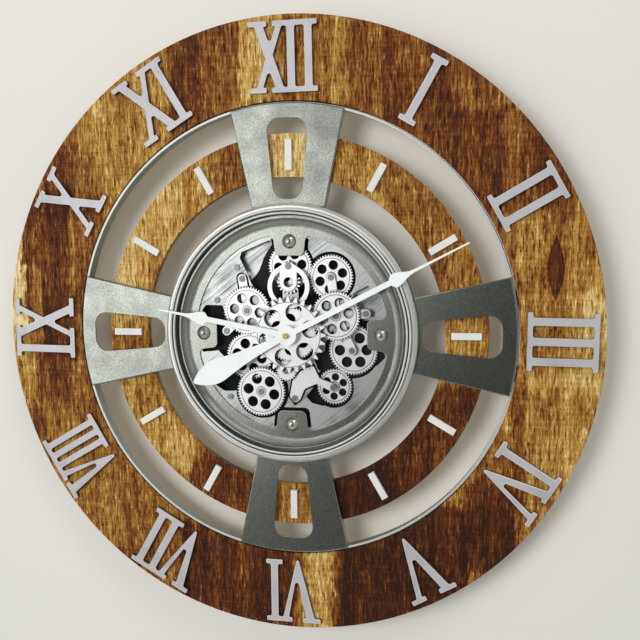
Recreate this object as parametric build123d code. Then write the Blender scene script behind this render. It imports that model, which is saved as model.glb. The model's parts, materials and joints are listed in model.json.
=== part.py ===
from build123d import *
import os
from math import atan2, cos, degrees, hypot, pi, radians, sin, tan

# Wall clock with two wooden rings, metal spokes and an open train of gears.
# Lengths are millimetres. X is right, Z is up and the wall is the plane Y = 0.
# The face looks along -Y, so a height is a distance from the wall towards the viewer.
# Bearings are degrees, anticlockwise from +X as seen from the front.

os.makedirs("parts", exist_ok=True)

# Fits
RUNNING_CLEARANCE = 0.06
LOOSE_CLEARANCE = 0.4

# Rounded corners: the share of a side that one corner may take, and the bend that counts as straight
SIDE_SHARE = 0.47
STRAIGHT_ENOUGH = 0.001

# Wooden rings, with the front face of the outer ring as the reference height
FACE_HEIGHT = 42.0
RING_BACK_HEIGHT = 30.0
OUTER_RING_RADIUS = 300.0
OUTER_RING_HOLE_RADIUS = 221.6
RING_GAP = 26.0
INNER_RING_WIDTH = 41.1
INNER_RING_SETBACK = 4.4

# Numerals and hour markers
NUMERAL_BORDER = 6.7
NUMERAL_THICKNESS = 4.5
THICK_STROKE_WIDTH = 8.4
THIN_STROKE_WIDTH = 5.8
SERIF_THICKNESS = 4.8
SERIF_OVERHANG = 5.0
SERIF_BRACKET = 2.2
SERIF_TIP_ROUND = 1.2
VEE_POINT_WIDTH = 2.4
MARKER_LENGTH = 29.0
MARKER_WIDTH = 6.7
MARKER_THICKNESS = 4.0

# Steel hoop inside the outer ring, with flat straps welded to its back
HOOP_CLEARANCE = 1.2
HOOP_WALL = 2.4
HOOP_PROUD = 0.5
STRAP_THICKNESS = 2.0
STRAP_WIDTH = 15.0
STRAP_OFFSET = 36.0
STRAP_INNER_REACH = 42.4
STRAP_OUTER_REACH = 31.6

# Pressed spokes
SPOKE_SHEET = 2.0
SPOKE_SETBACK = 0.6
SPOKE_OUTER_WIDTH = 115.0
SPOKE_INNER_CLEARANCE = 1.5
SPOKE_INNER_WIDTH = 72.6
SPOKE_EDGE_ROUND = 1.2
WINDOW_OUTER_BORDER = 14.2
WINDOW_INNER_BORDER = 8.3
WINDOW_OUTER_WIDTH = 42.2
WINDOW_INNER_WIDTH = 28.2
WINDOW_CORNER = 12.5

# Drum that carries the gear module
REAR_COVER_THICKNESS = 2.5
DRUM_RADIUS = 120.0
DRUM_WALL = 3.0
DRUM_RIM_HEIGHT = 46.5
DRUM_FLANGE_WIDTH = 6.0
DRUM_FLANGE_THICKNESS = 4.0
DRUM_LEDGE_HEIGHT = 30.0
DRUM_LEDGE_THICKNESS = 2.0
DRUM_LEDGE_WIDTH = 6.0

# Bezel with two beads
BEZEL_CREST_HEIGHT = 54.3
BEZEL_INNER_REACH = 5.4
BEAD_SPACING = 3.35
BEAD_ROUND = 1.35
BEZEL_STEP_REACH = 3.4
BEZEL_STEP_DROP = 2.8

# Dished cover plate with four lugs
COVER_SHEET = 1.5
COVER_FRONT_HEIGHT = 42.5
COVER_RIM_WIDTH = 23.0
COVER_FLAT_WIDTH = 6.5
COVER_DISH_RUN = 8.5
LUG_REACH = 21.0
LUG_TIP_WIDTH = 28.0
LUG_ROOT_WIDTH = 35.0
LUG_CORNER = 5.5
LUG_ROOT_ROUND = 5.0
POCKET_MARGIN = 3.2
COVER_SCREW_INSET = 7.3
COVER_SCREW_HEAD_RADIUS = 7.0
COVER_SCREW_HEAD_HEIGHT = 4.2
POST_RADIUS = 4.0

# Plates of the gear module
BACK_PLATE_THICKNESS = 2.0
MID_PLATE_SHEET = 1.2
MID_PLATE_INSET = 12.0
FLOOR_PLATE_SHEET = 0.8
PILLAR_RADIUS = 2.6
SCREW_HEAD_RADIUS = 3.1
SCREW_HEAD_HEIGHT = 1.3
BRIDGE_SHEET = 1.4
BRIDGE_WIDTH = 9.0
CUTOUT_MARGIN = 2.6
CUTOUT_NECK = 26.0
LEFT_BRIDGE_HEAD = (-48.9, 53.7)
LEFT_BRIDGE_FOOT = (-66.2, 2.1)
RIGHT_BRIDGE_FOOT = (75.0, 20.5)
BOTTOM_BRIDGE_FOOT = (2.8, -63.6)
BOTTOM_BRIDGE_HEAD = (19.0, -35.0)
BOTTOM_BRIDGE_OUTLINE = [
    (-2.4, -62.0), (0.6, -46.2), (9.5, -36.0), (22.0, -30.0), (28.2, -43.0), (44.0, -48.6), (40.2, -56.2),
    (25.0, -48.6), (13.0, -54.2), (8.6, -64.6), (3.0, -68.8),
]
BOTTOM_BRIDGE_ROUND = 3.0
PLATE_SCREWS = [(-54.1, 64.9), (-75.3, 32.6), (-64.1, -63.5)]
COVERED_PILLAR_BEARINGS = (-30.0, 45.4)
COVERED_PILLAR_INSET = 5.2
BRIDGE_MARGIN = 1.6

# Corners of the openings in the middle plate, and of the bright floor plates seen through them
PLATE_OPENINGS = {
    "upper left": [
        (-20.1, 91.3), (-49.1, 79.4), (-51.0, 73.8), (-44.5, 60.9), (-40.0, 50.0), (-30.0, 32.0), (-8.0, 30.0),
        (-8.0, 70.0),
    ],
    "beside the guard ring": [(8.0, 30.0), (8.0, 52.0), (24.0, 52.0), (32.0, 38.0), (30.0, 26.0)],
    "left": [(-76.0, 17.0), (-76.0, -17.0), (-69.0, -24.0), (-54.0, -16.0), (-50.0, 8.0), (-58.0, 17.0)],
    "left pocket": [(-91.0, 23.5), (-87.0, 27.8), (-69.8, 27.5), (-66.0, 14.0), (-91.0, 14.0)],
    "lower left": [(-80.4, -51.5), (-70.0, -58.0), (-58.7, -57.7), (-46.0, -46.0), (-52.0, -36.0), (-70.0, -42.0)],
    "right": [(77.2, 47.7), (62.6, 40.2), (62.0, 26.0), (72.0, 12.0), (93.0, 18.0), (91.0, 34.0)],
    "lower right": [(74.0, -10.0), (91.0, -14.0), (94.0, -21.3), (86.0, -29.0), (70.0, -36.0)],
    "inner right": [(22.0, -20.0), (40.0, -14.0), (46.0, -30.0), (34.0, -40.0), (26.0, -34.0)],
    "bottom": [(14.1, -61.5), (20.0, -67.8), (32.5, -70.6), (40.0, -60.0), (26.0, -47.0)],
}
PLATE_OPENING_ROUND = 2.4
FLOOR_PLATES = {
    "wing": [
        (-20.5, 93.0), (-20.5, 86.5), (-25.6, 79.6), (-29.2, 73.2), (-31.6, 67.0), (-34.0, 61.4), (-38.0, 56.0),
        (-43.3, 51.0), (-58.0, 50.0), (-60.0, 72.0), (-50.0, 86.0),
    ],
    "right": [(80.0, 52.0), (60.0, 42.0), (63.0, 24.0), (71.0, 13.0), (96.0, 16.0), (94.0, 36.0)],
}

# Heights of the gear layers, from the back plate to the front
LAYER_D_BASE = 32.9
LAYER_C_BASE = 36.6
BRIDGE_BASE = 40.2
LAYER_B_BASE = 42.0
GUARD_BASE = 45.4
LAYER_A_BASE = 47.4
WHEEL_THICKNESS = 3.0

# Teeth
FINE_MODULE = 0.9
COARSE_MODULE = 2.5
GUARD_MODULE = 1.2
ADDENDUM = 0.8
DEDENDUM = 1.15
TOOTH_SHARE = 0.36
FLANK_ANGLE = 18.0
CENTRE_TEETH = 58
COARSE_TEETH = 28
RIGHT_TEETH = 52
RIGHT_UPPER_PINION_TEETH = 36
RIGHT_LOWER_PINION_TEETH = 29
LEFT_TEETH = 51
LEFT_LOWER_TEETH = 51
IDLER_TEETH = 22
BOTTOM_LEFT_TEETH = 53
UPPER_RIGHT_TEETH = 47
TOP_TEETH = 47
TOP_PINION_TEETH = 8
GUARD_TEETH = 18
LOWER_RIGHT_TEETH = 53
SMALL_TEETH = 38
MOTOR_TEETH = 10

# Bearing of each wheel from the wheel that it meshes with
RIGHT_BEARING = 21.8
LEFT_BEARING = 152.3
LEFT_LOWER_BEARING = 207.2
IDLER_BEARING = 263.1
BOTTOM_LEFT_BEARING = 219.2
UPPER_RIGHT_BEARING = 98.3
TOP_BEARING = 165.1
GUARD_BEARING = 270.0
LOWER_RIGHT_BEARING = 293.9
SMALL_BEARING = 242.5
MOTOR_BEARING = 112.4

# Wheel webs, hubs and the studs that they turn on
STUD_RADIUS = 1.9
STUD_CAP_RADIUS = 3.3
STUD_CAP_HEIGHT = 0.9
STUD_CAP_GAP = 0.3
HUB_RADIUS = 3.3
WEB_HOLES = 6
WEB_HOLE_SHARE = 0.22
WEB_HOLE_RADIUS_SHARE = 0.56
GROOVE_WIDTH = 0.6
GROOVE_DEPTH = 0.4
HUB_GROOVE_RADIUS = 4.8
COARSE_HOLE_RADIUS = 8.6
COARSE_HOLE_CENTRE_RADIUS = 22.4
CENTRE_HUB_RADIUS = 10.0
GUARD_TUBE_RADIUS = 5.6
GUARD_TUBE_WALL = 0.9
GUARD_EYE_WALL = 3.0
GUARD_COLLAR_HEIGHT = 0.8
GUARD_COLLAR_STEP = 1.0

# Guard ring over the small gear
GUARD_RING_RADIUS = 21.2
GUARD_RING_HOLE_RADIUS = 16.4
GUARD_RING_DROP = 4.2
GUARD_APEX_HALF = 3.4
GUARD_SHOULDER_BEARING = 48.0
GUARD_FOOT_BEARINGS = (215.0, 325.0)

# Hands and the quartz movement behind them
MOVEMENT_SIDE = 56.0
MOVEMENT_DEPTH = 16.0
MOVEMENT_TUBE_RADIUS = 4.0
MOVEMENT_TUBE_END = 52.5
MOVEMENT_CORNER = 4.0
MOVEMENT_NUT_HEX = 13.0
MOVEMENT_NUT_HEIGHT = 2.4
HOUR_PIPE_RADIUS = 2.8
MINUTE_ARBOR_RADIUS = 1.7
HAND_SHEET = 1.0
HOUR_HAND_BASE = 55.3
MINUTE_HAND_BASE = 57.5
HAND_BOSS_RADIUS = 9.8
HOUR_HAND_LENGTH = 133.0
HOUR_SPADE_RADIUS = 82.0
HOUR_SPADE_WIDTH = 13.0
HOUR_BEARING = 169.7
MINUTE_HAND_LENGTH = 196.0
MINUTE_SPADE_RADIUS = 113.5
MINUTE_SPADE_WIDTH = 13.4
MINUTE_BEARING = 26.6
HAND_STEM_ROOT_WIDTH = 5.6
HAND_STEM_END_WIDTH = 5.2
NEEDLE_ROOT_WIDTH = 2.6
NEEDLE_TIP_WIDTH = 1.5
SPADE_SHOULDER = 3.4
SPADE_LENGTH = 29.0
SPADE_FULLNESS = 0.42
TAIL_LENGTH = 107.0
TAIL_TIP_WIDTH = 2.0
TAIL_WIDTHS = [(25.0, 8.6), (50.0, 13.6), (70.0, 20.4), (82.0, 23.4), (95.0, 17.2)]
HAND_NUT_RADIUS = 2.6
HUB_TOP_HEIGHT = 62.7

# Setting knob at the back
KNOB_RADIUS = 8.0
KNOB_LENGTH = 6.5
KNOB_STEM_RADIUS = 2.0
KNOB_STEM_DEPTH = 5.0
KNOB_RISE = 17.0
KNOB_HOLE_RADIUS = 11.0
KNOB_FLUTES = 16
KNOB_FLUTE_RADIUS = 0.8

# Batteries, their box and door
CELL_RADIUS = 7.25
CELL_LENGTH = 49.5
CELL_CAP_RADIUS = 2.75
CELL_CAP_LENGTH = 1.0
CELL_ROOM = 0.4
CELL_PITCH = 16.4
BATTERY_BOX_WALL = 2.0
BATTERY_BOX_CENTRE = -60.0
MOVEMENT_CELL_CENTRE = -18.5
CELL_AXIS_DEPTH = 8.2
DOOR_THICKNESS = 2.0
DOOR_RECESS = 0.3
DOOR_WIDTH = 66.0
DOOR_TOP = -13.0
DOOR_BOTTOM = -80.0
DOOR_GAP = 0.5
DOOR_PIN_RADIUS = 1.2
DOOR_PIN_LENGTH = 3.0
DOOR_AXIS_HEIGHT = 3.6
DOOR_AXIS_DROP = 1.6
DOOR_SWING_GAP = 2.4
DOOR_EAR_WIDTH = 6.0

# Gear motor
MOTOR_RADIUS = 10.0
MOTOR_LENGTH = 18.0
MOTOR_SHAFT_RADIUS = 1.5
MOTOR_SHAFT_DEPTH = 8.0

# Hanger plate with a keyhole
HANGER_INSET = 27.0
HANGER_WIDTH = 64.0
HANGER_DEPTH = 30.0
HANGER_SHEET = 2.0
KEYHOLE_RADIUS = 5.0
KEYHOLE_SLOT_RADIUS = 2.4
KEYHOLE_SLOT_LENGTH = 9.0
KEYHOLE_ROOM = 3.0
HANGER_SCREW_SPREAD = 24.0
REAR_BOSS_RADIUS = 4.5
REAR_BOSS_INSET = 9.0
REAR_SCREW_RADIUS = 1.5
REAR_SCREW_LENGTH = 12.0
REAR_BOSS_BEARINGS = (30.0, 150.0, 225.0, 315.0)
REAR_HEAD_RADIUS = 3.0
REAR_HEAD_HEIGHT = 1.4
STRAP_SCREW_RADIUS = 3.6
STRAP_SCREW_HEIGHT = 1.6

# Radii that follow from the sizes above
HOOP_RADIUS = OUTER_RING_HOLE_RADIUS - HOOP_CLEARANCE
INNER_RING_RADIUS = HOOP_RADIUS - HOOP_WALL - RING_GAP
INNER_RING_HOLE_RADIUS = INNER_RING_RADIUS - INNER_RING_WIDTH
NUMERAL_HEIGHT = OUTER_RING_RADIUS - OUTER_RING_HOLE_RADIUS - 2 * NUMERAL_BORDER
NUMERAL_CENTRE_RADIUS = (OUTER_RING_RADIUS + OUTER_RING_HOLE_RADIUS) / 2
MARKER_CENTRE_RADIUS = (INNER_RING_RADIUS + INNER_RING_HOLE_RADIUS) / 2
STRAP_INNER_RADIUS = HOOP_RADIUS - STRAP_INNER_REACH
STRAP_OUTER_RADIUS = HOOP_RADIUS + STRAP_OUTER_REACH
SPOKE_OUTER_RADIUS = HOOP_RADIUS - SPOKE_SETBACK
SPOKE_INNER_RADIUS = DRUM_RADIUS + SPOKE_INNER_CLEARANCE
WINDOW_OUTER_RADIUS = SPOKE_OUTER_RADIUS - WINDOW_OUTER_BORDER
WINDOW_INNER_RADIUS = SPOKE_INNER_RADIUS + WINDOW_INNER_BORDER
DRUM_FLANGE_RADIUS = DRUM_RADIUS + DRUM_FLANGE_WIDTH
BEZEL_INNER_RADIUS = DRUM_RADIUS - BEZEL_INNER_REACH
BEZEL_STEP_RADIUS = DRUM_RADIUS + BEZEL_STEP_REACH
BEAD_OUTER_RADIUS = DRUM_RADIUS
BEAD_INNER_RADIUS = BEAD_OUTER_RADIUS - BEAD_SPACING
COVER_OPENING_RADIUS = DRUM_RADIUS - COVER_RIM_WIDTH
COVER_FLAT_RADIUS = COVER_OPENING_RADIUS + COVER_FLAT_WIDTH
COVER_DISH_RADIUS = COVER_FLAT_RADIUS + COVER_DISH_RUN
COVER_SCREW_RADIUS = COVER_OPENING_RADIUS - COVER_SCREW_INSET
LUG_REACH_RADIUS = COVER_OPENING_RADIUS - LUG_REACH
MID_PLATE_RADIUS = DRUM_RADIUS - MID_PLATE_INSET
REAR_BOSS_CENTRE_RADIUS = DRUM_RADIUS - REAR_BOSS_INSET
HANGER_RISE = DRUM_RADIUS - HANGER_INSET

# Heights that follow from the sizes above
INNER_RING_FRONT = FACE_HEIGHT - INNER_RING_SETBACK
HOOP_FRONT = FACE_HEIGHT + HOOP_PROUD
SPOKE_FRONT = HOOP_FRONT + SPOKE_SHEET
BACK_PLATE_BASE = DRUM_LEDGE_HEIGHT
BACK_PLATE_FRONT = BACK_PLATE_BASE + BACK_PLATE_THICKNESS
COVER_BACK_HEIGHT = COVER_FRONT_HEIGHT - COVER_SHEET
MID_PLATE_FRONT = COVER_BACK_HEIGHT
MID_PLATE_BASE = MID_PLATE_FRONT - MID_PLATE_SHEET
BRIDGE_FRONT = BRIDGE_BASE + BRIDGE_SHEET
GUARD_FRONT = GUARD_BASE + BRIDGE_SHEET
LAYER_A_FRONT = LAYER_A_BASE + WHEEL_THICKNESS
LAYER_B_FRONT = LAYER_B_BASE + WHEEL_THICKNESS
LAYER_C_FRONT = LAYER_C_BASE + WHEEL_THICKNESS
LAYER_D_FRONT = LAYER_D_BASE + WHEEL_THICKNESS
MOVEMENT_FRONT = BACK_PLATE_BASE
MOVEMENT_BACK = MOVEMENT_FRONT - MOVEMENT_DEPTH
CELL_SPAN = CELL_LENGTH + CELL_CAP_LENGTH


def slab(shape, base, thickness):
    """A flat outline, drawn as X and Z, made solid from its base height towards the viewer."""
    return extrude(Plane.XZ.offset(base) * shape, amount=thickness)


def at(point, shape):
    """A flat shape moved to a point of the face."""
    return Pos(point[0], point[1]) * shape


def turned(angle, shape):
    """A flat shape turned anticlockwise about the middle of the clock."""
    return Rot(0, 0, angle) * shape


def disc(point, radius, base, thickness):
    """A round slab."""
    return slab(at(point, Circle(radius)), base, thickness)


def polar(radius, bearing):
    """A point of the face from its distance and bearing."""
    return (radius * cos(radians(bearing)), radius * sin(radians(bearing)))


def beside(point, distance, bearing):
    """A point at a distance and bearing from another point."""
    step = polar(distance, bearing)
    return (point[0] + step[0], point[1] + step[1])


def revolved(outline):
    """A ring about the clock's axis from its outline in radius and height."""
    section = make_face(Polyline([(radius, -height) for radius, height in outline], close=True))
    return revolve(section, axis=Axis.Y)


def link(start, end, width):
    """A flat bar with round ends between two points."""
    run = hypot(end[0] - start[0], end[1] - start[1])
    middle = ((start[0] + end[0]) / 2, (start[1] + end[1]) / 2)
    angle = degrees(atan2(end[1] - start[1], end[0] - start[0]))
    return at(middle, turned(angle, SlotCenterToCenter(run, width)))


def softened(points, outside_radius, inside_radius):
    """A polygon whose outside and inside corners are rounded as far as its sides have room."""
    following = points[1:] + points[:1]
    doubled_area = sum(a[0] * b[1] - b[0] * a[1] for a, b in zip(points, following))
    path = []
    ends = []
    for before, here, after in zip(points[-1:] + points[:-1], points, following):
        back = Vector(*before) - Vector(*here)
        ahead = Vector(*after) - Vector(*here)
        bend = ahead.X * back.Y - ahead.Y * back.X
        if abs(bend) < STRAIGHT_ENOUGH * back.length * ahead.length:
            continue
        half_angle = radians(back.get_angle(ahead)) / 2
        radius = outside_radius if bend * doubled_area > 0 else inside_radius
        run = min(radius / tan(half_angle), SIDE_SHARE * back.length, SIDE_SHARE * ahead.length)
        bisector = (back.normalized() + ahead.normalized()).normalized()
        depth = run / cos(half_angle) - run * tan(half_angle)
        start = Vector(*here) + back.normalized() * run
        end = Vector(*here) + ahead.normalized() * run
        path.append(ThreePointArc(start, Vector(*here) + bisector * depth, end))
        ends.append((start, end))
    for (_, end), (start, _) in zip(ends, ends[1:] + ends[:1]):
        path.append(Line(end, start))
    return make_face(path)


def corners_of(wire):
    """Corners of a straight-sided loop, in order round it."""
    ends = [(edge @ 0, edge @ 1) for edge in wire.order_edges()]
    corners = []
    for (start, end), (next_start, next_end) in zip(ends, ends[1:] + ends[:1]):
        ahead = min((end - next_start).length, (end - next_end).length)
        behind = min((start - next_start).length, (start - next_end).length)
        joint = end if ahead < behind else start
        corners.append((joint.X, joint.Y))
    return corners


def keep(node, shape):
    """Write one named piece, or a group of like pieces."""
    export_step(shape, f"parts/{node}.step")


# Teeth and wheels

def pitch_radius(teeth, module):
    return teeth * module / 2


def tip_radius(teeth, module):
    return pitch_radius(teeth, module) + ADDENDUM * module


def root_radius(teeth, module):
    return pitch_radius(teeth, module) - DEDENDUM * module


def mesh_distance(teeth, other_teeth, module):
    return pitch_radius(teeth, module) + pitch_radius(other_teeth, module)


def meshed_phase(phase, teeth, other_teeth, bearing):
    """Bearing of one tooth of a wheel so that its gap takes a tooth of the wheel it meshes with."""
    share = (phase - bearing) / (360 / teeth)
    return bearing + 180 - (share + 0.5) * 360 / other_teeth


def toothed(teeth, module, phase):
    """Outline of a wheel with straight-flanked teeth that are thinner than their gaps."""
    tip = tip_radius(teeth, module)
    root = root_radius(teeth, module)
    half_tooth = TOOTH_SHARE * pi * module / 2
    half_tip = half_tooth - ADDENDUM * module * tan(radians(FLANK_ANGLE))
    half_root = half_tooth + DEDENDUM * module * tan(radians(FLANK_ANGLE))
    tip_angle = degrees(half_tip / tip)
    root_angle = degrees(half_root / root)
    points = []
    for tooth in range(teeth):
        middle = phase + tooth * 360 / teeth
        points.append(polar(root, middle - root_angle))
        points.append(polar(tip, middle - tip_angle))
        points.append(polar(tip, middle + tip_angle))
        points.append(polar(root, middle + root_angle))
    return make_face(Polyline(points, close=True))


def web_holes(count, hole_radius, centre_radius, phase):
    """Round holes through a wheel's web."""
    return [at(polar(centre_radius, phase + n * 360 / count), Circle(hole_radius)) for n in range(count)]


def holed_wheel(teeth, module, phase):
    """A toothed outline with six round holes in its web."""
    radius = pitch_radius(teeth, module)
    holes = web_holes(WEB_HOLES, WEB_HOLE_SHARE * radius, WEB_HOLE_RADIUS_SHARE * radius, phase + 30)
    return toothed(teeth, module, phase) - holes


def groove(point, radius, front):
    """A fine groove turned into a wheel's front face."""
    ring = Circle(radius + GROOVE_WIDTH / 2) - Circle(radius - GROOVE_WIDTH / 2)
    return slab(at(point, ring), front - GROOVE_DEPTH, GROOVE_DEPTH)


def wheel(point, teeth, module, phase, base, hub_base, hub_front, pinions=()):
    """A wheel with a hub that turns on a stud. Pinions are given as teeth, module, phase and base height."""
    body = slab(at(point, holed_wheel(teeth, module, phase)), base, WHEEL_THICKNESS)
    hole_reach = (WEB_HOLE_RADIUS_SHARE + WEB_HOLE_SHARE) * pitch_radius(teeth, module)
    body -= groove(point, (hole_reach + root_radius(teeth, module)) / 2, base + WHEEL_THICKNESS)
    body -= groove(point, HUB_GROOVE_RADIUS, base + WHEEL_THICKNESS)
    body += disc(point, HUB_RADIUS, hub_base, hub_front - hub_base)
    for pinion_teeth, pinion_module, pinion_phase, pinion_base in pinions:
        pinion = toothed(pinion_teeth, pinion_module, pinion_phase)
        body += slab(at(point, pinion), pinion_base, WHEEL_THICKNESS)
    bore = disc(point, STUD_RADIUS + RUNNING_CLEARANCE, hub_base, hub_front - hub_base)
    return body - bore


def stud(point, end, capped):
    """A fixed pin from the back plate, with a cap in front of a wheel that nothing else holds."""
    pin = disc(point, STUD_RADIUS, BACK_PLATE_FRONT, end - BACK_PLATE_FRONT)
    if capped:
        pin += disc(point, STUD_CAP_RADIUS, end, STUD_CAP_HEIGHT)
    return pin


# Places of the wheels
CENTRE = (0.0, 0.0)
RIGHT = beside(CENTRE, mesh_distance(CENTRE_TEETH, RIGHT_TEETH, FINE_MODULE), RIGHT_BEARING)
LEFT = beside(CENTRE, mesh_distance(CENTRE_TEETH, LEFT_TEETH, FINE_MODULE), LEFT_BEARING)
LEFT_LOWER = beside(CENTRE, mesh_distance(CENTRE_TEETH, LEFT_LOWER_TEETH, FINE_MODULE), LEFT_LOWER_BEARING)
IDLER = beside(CENTRE, mesh_distance(CENTRE_TEETH, IDLER_TEETH, FINE_MODULE), IDLER_BEARING)
BOTTOM_LEFT = beside(IDLER, mesh_distance(IDLER_TEETH, BOTTOM_LEFT_TEETH, FINE_MODULE), BOTTOM_LEFT_BEARING)
UPPER_RIGHT = beside(
    RIGHT, mesh_distance(RIGHT_UPPER_PINION_TEETH, UPPER_RIGHT_TEETH, FINE_MODULE), UPPER_RIGHT_BEARING
)
TOP = beside(UPPER_RIGHT, mesh_distance(UPPER_RIGHT_TEETH, TOP_TEETH, FINE_MODULE), TOP_BEARING)
GUARD = beside(TOP, mesh_distance(TOP_PINION_TEETH, GUARD_TEETH, GUARD_MODULE), GUARD_BEARING)
LOWER_RIGHT = beside(
    RIGHT, mesh_distance(RIGHT_LOWER_PINION_TEETH, LOWER_RIGHT_TEETH, FINE_MODULE), LOWER_RIGHT_BEARING
)
SMALL = beside(LOWER_RIGHT, mesh_distance(LOWER_RIGHT_TEETH, SMALL_TEETH, FINE_MODULE), SMALL_BEARING)
MOTOR = beside(TOP, mesh_distance(TOP_TEETH, MOTOR_TEETH, FINE_MODULE), MOTOR_BEARING)
GUARD_RING = (GUARD[0], GUARD[1] - GUARD_RING_DROP)

# Tooth phases, so that the train is in mesh at rest
CENTRE_PHASE = 0.0
RIGHT_PHASE = meshed_phase(CENTRE_PHASE, CENTRE_TEETH, RIGHT_TEETH, RIGHT_BEARING)
LEFT_PHASE = meshed_phase(CENTRE_PHASE, CENTRE_TEETH, LEFT_TEETH, LEFT_BEARING)
LEFT_LOWER_PHASE = meshed_phase(CENTRE_PHASE, CENTRE_TEETH, LEFT_LOWER_TEETH, LEFT_LOWER_BEARING)
IDLER_PHASE = meshed_phase(CENTRE_PHASE, CENTRE_TEETH, IDLER_TEETH, IDLER_BEARING)
BOTTOM_LEFT_PHASE = meshed_phase(IDLER_PHASE, IDLER_TEETH, BOTTOM_LEFT_TEETH, BOTTOM_LEFT_BEARING)
PINION_PHASE = 0.0
UPPER_RIGHT_PHASE = meshed_phase(
    PINION_PHASE, RIGHT_UPPER_PINION_TEETH, UPPER_RIGHT_TEETH, UPPER_RIGHT_BEARING
)
TOP_PHASE = meshed_phase(UPPER_RIGHT_PHASE, UPPER_RIGHT_TEETH, TOP_TEETH, TOP_BEARING)
GUARD_PHASE = meshed_phase(PINION_PHASE, TOP_PINION_TEETH, GUARD_TEETH, GUARD_BEARING)
LOWER_RIGHT_PHASE = meshed_phase(
    PINION_PHASE, RIGHT_LOWER_PINION_TEETH, LOWER_RIGHT_TEETH, LOWER_RIGHT_BEARING
)
SMALL_PHASE = meshed_phase(LOWER_RIGHT_PHASE, LOWER_RIGHT_TEETH, SMALL_TEETH, SMALL_BEARING)
MOTOR_PHASE = meshed_phase(TOP_PHASE, TOP_TEETH, MOTOR_TEETH, MOTOR_BEARING)


# Wooden rings

def wooden_ring(radius, hole_radius, front):
    """A flat wooden ring whose back lies on the straps."""
    return slab(Circle(radius) - Circle(hole_radius), RING_BACK_HEIGHT, front - RING_BACK_HEIGHT)


keep("outer_ring", wooden_ring(OUTER_RING_RADIUS, OUTER_RING_HOLE_RADIUS, FACE_HEIGHT))
keep("inner_ring", wooden_ring(INNER_RING_RADIUS, INNER_RING_HOLE_RADIUS, INNER_RING_FRONT))


# Numerals: stems, thin strokes and serif bars in one flat outline

HALF_NUMERAL = NUMERAL_HEIGHT / 2


def stroke(low, high, width):
    """A straight stroke between two places on the foot line and the head line of the numeral."""
    corners = [
        (low - width / 2, -HALF_NUMERAL),
        (low + width / 2, -HALF_NUMERAL),
        (high + width / 2, HALF_NUMERAL),
        (high - width / 2, HALF_NUMERAL),
    ]
    return make_face(Polyline(corners, close=True))


def serif(left, right, on_top):
    """A serif bar from the left edge to the right edge of what it joins, with its overhang."""
    middle = (left + right) / 2
    height = HALF_NUMERAL - SERIF_THICKNESS / 2
    bar = Rectangle(right - left + 2 * SERIF_OVERHANG, SERIF_THICKNESS)
    return at((middle, height if on_top else -height), bar)


def stems(count, start, width, gap):
    """Upright stems side by side, with the right edge of the row."""
    middles = [start + width / 2 + n * (width + gap) for n in range(count)]
    return [stroke(x, x, width) for x in middles], middles[-1] + width / 2


def cross(spread):
    """The two strokes of an X."""
    half = spread / 2
    return [stroke(half, -half, THICK_STROKE_WIDTH), stroke(-half, half, THIN_STROKE_WIDTH)]


def vee(spread):
    """The two strokes of a V, cut to a point at the foot."""
    half = spread / 2
    point = VEE_POINT_WIDTH / 2
    wedge = make_face(Polyline(
        [
            (-half - THICK_STROKE_WIDTH / 2, HALF_NUMERAL),
            (half + THIN_STROKE_WIDTH / 2, HALF_NUMERAL),
            (point, -HALF_NUMERAL),
            (-point, -HALF_NUMERAL),
        ],
        close=True,
    ))
    thick = stroke(THICK_STROKE_WIDTH / 2 - point, -half, THICK_STROKE_WIDTH)
    thin = stroke(point - THIN_STROKE_WIDTH / 2, half, THIN_STROKE_WIDTH)
    return [thick & wedge, thin & wedge]


def arm(middle, width):
    """Left edge and right edge of one stroke's end."""
    return (middle - width / 2, middle + width / 2)


def numeral_outline(before, letter, after, stem_width, stem_gap, letter_gap, spread):
    """Stems before and after an X or a V, or stems alone, centred on the numeral's own middle."""
    if letter is None:
        left = 0.0
        pieces, right = stems(after, left, stem_width, stem_gap)
        pieces += [serif(left, right, True), serif(left, right, False)]
    else:
        pieces = cross(spread) if letter == "X" else vee(spread)
        left_head = arm(-spread / 2, THICK_STROKE_WIDTH)
        right_head = arm(spread / 2, THIN_STROKE_WIDTH)
        left_foot = arm(-spread / 2, THIN_STROKE_WIDTH)
        right_foot = arm(spread / 2, THICK_STROKE_WIDTH)
        left = left_head[0]
        right = right_foot[1]
        if after:
            row_left = right_head[1] + letter_gap
            row, row_right = stems(after, row_left, stem_width, stem_gap)
            right = row_right
            pieces += row
        if before:
            row_left = left - letter_gap - before * stem_width - (before - 1) * stem_gap
            row, row_right = stems(before, row_left, stem_width, stem_gap)
            left = row_left
            pieces += row
        pieces.append(serif(left if before else left_head[0], left_head[1], True))
        pieces.append(serif(right_head[0], right if after else right_head[1], True))
        if letter == "X":
            pieces.append(serif(left if before else left_foot[0], left_foot[1], False))
            pieces.append(serif(right_foot[0], right if after else right_foot[1], False))
        elif before or after:
            pieces.append(serif(row_left, row_right, False))
    outline = pieces[0] + pieces[1:]
    sheet = outline.faces()[0]
    solid = softened(corners_of(sheet.outer_wire()), SERIF_TIP_ROUND, SERIF_BRACKET)
    for counter in sheet.inner_wires():
        solid -= softened(corners_of(counter), SERIF_BRACKET, SERIF_TIP_ROUND)
    return at((-(left + right) / 2, 0), solid)


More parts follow.
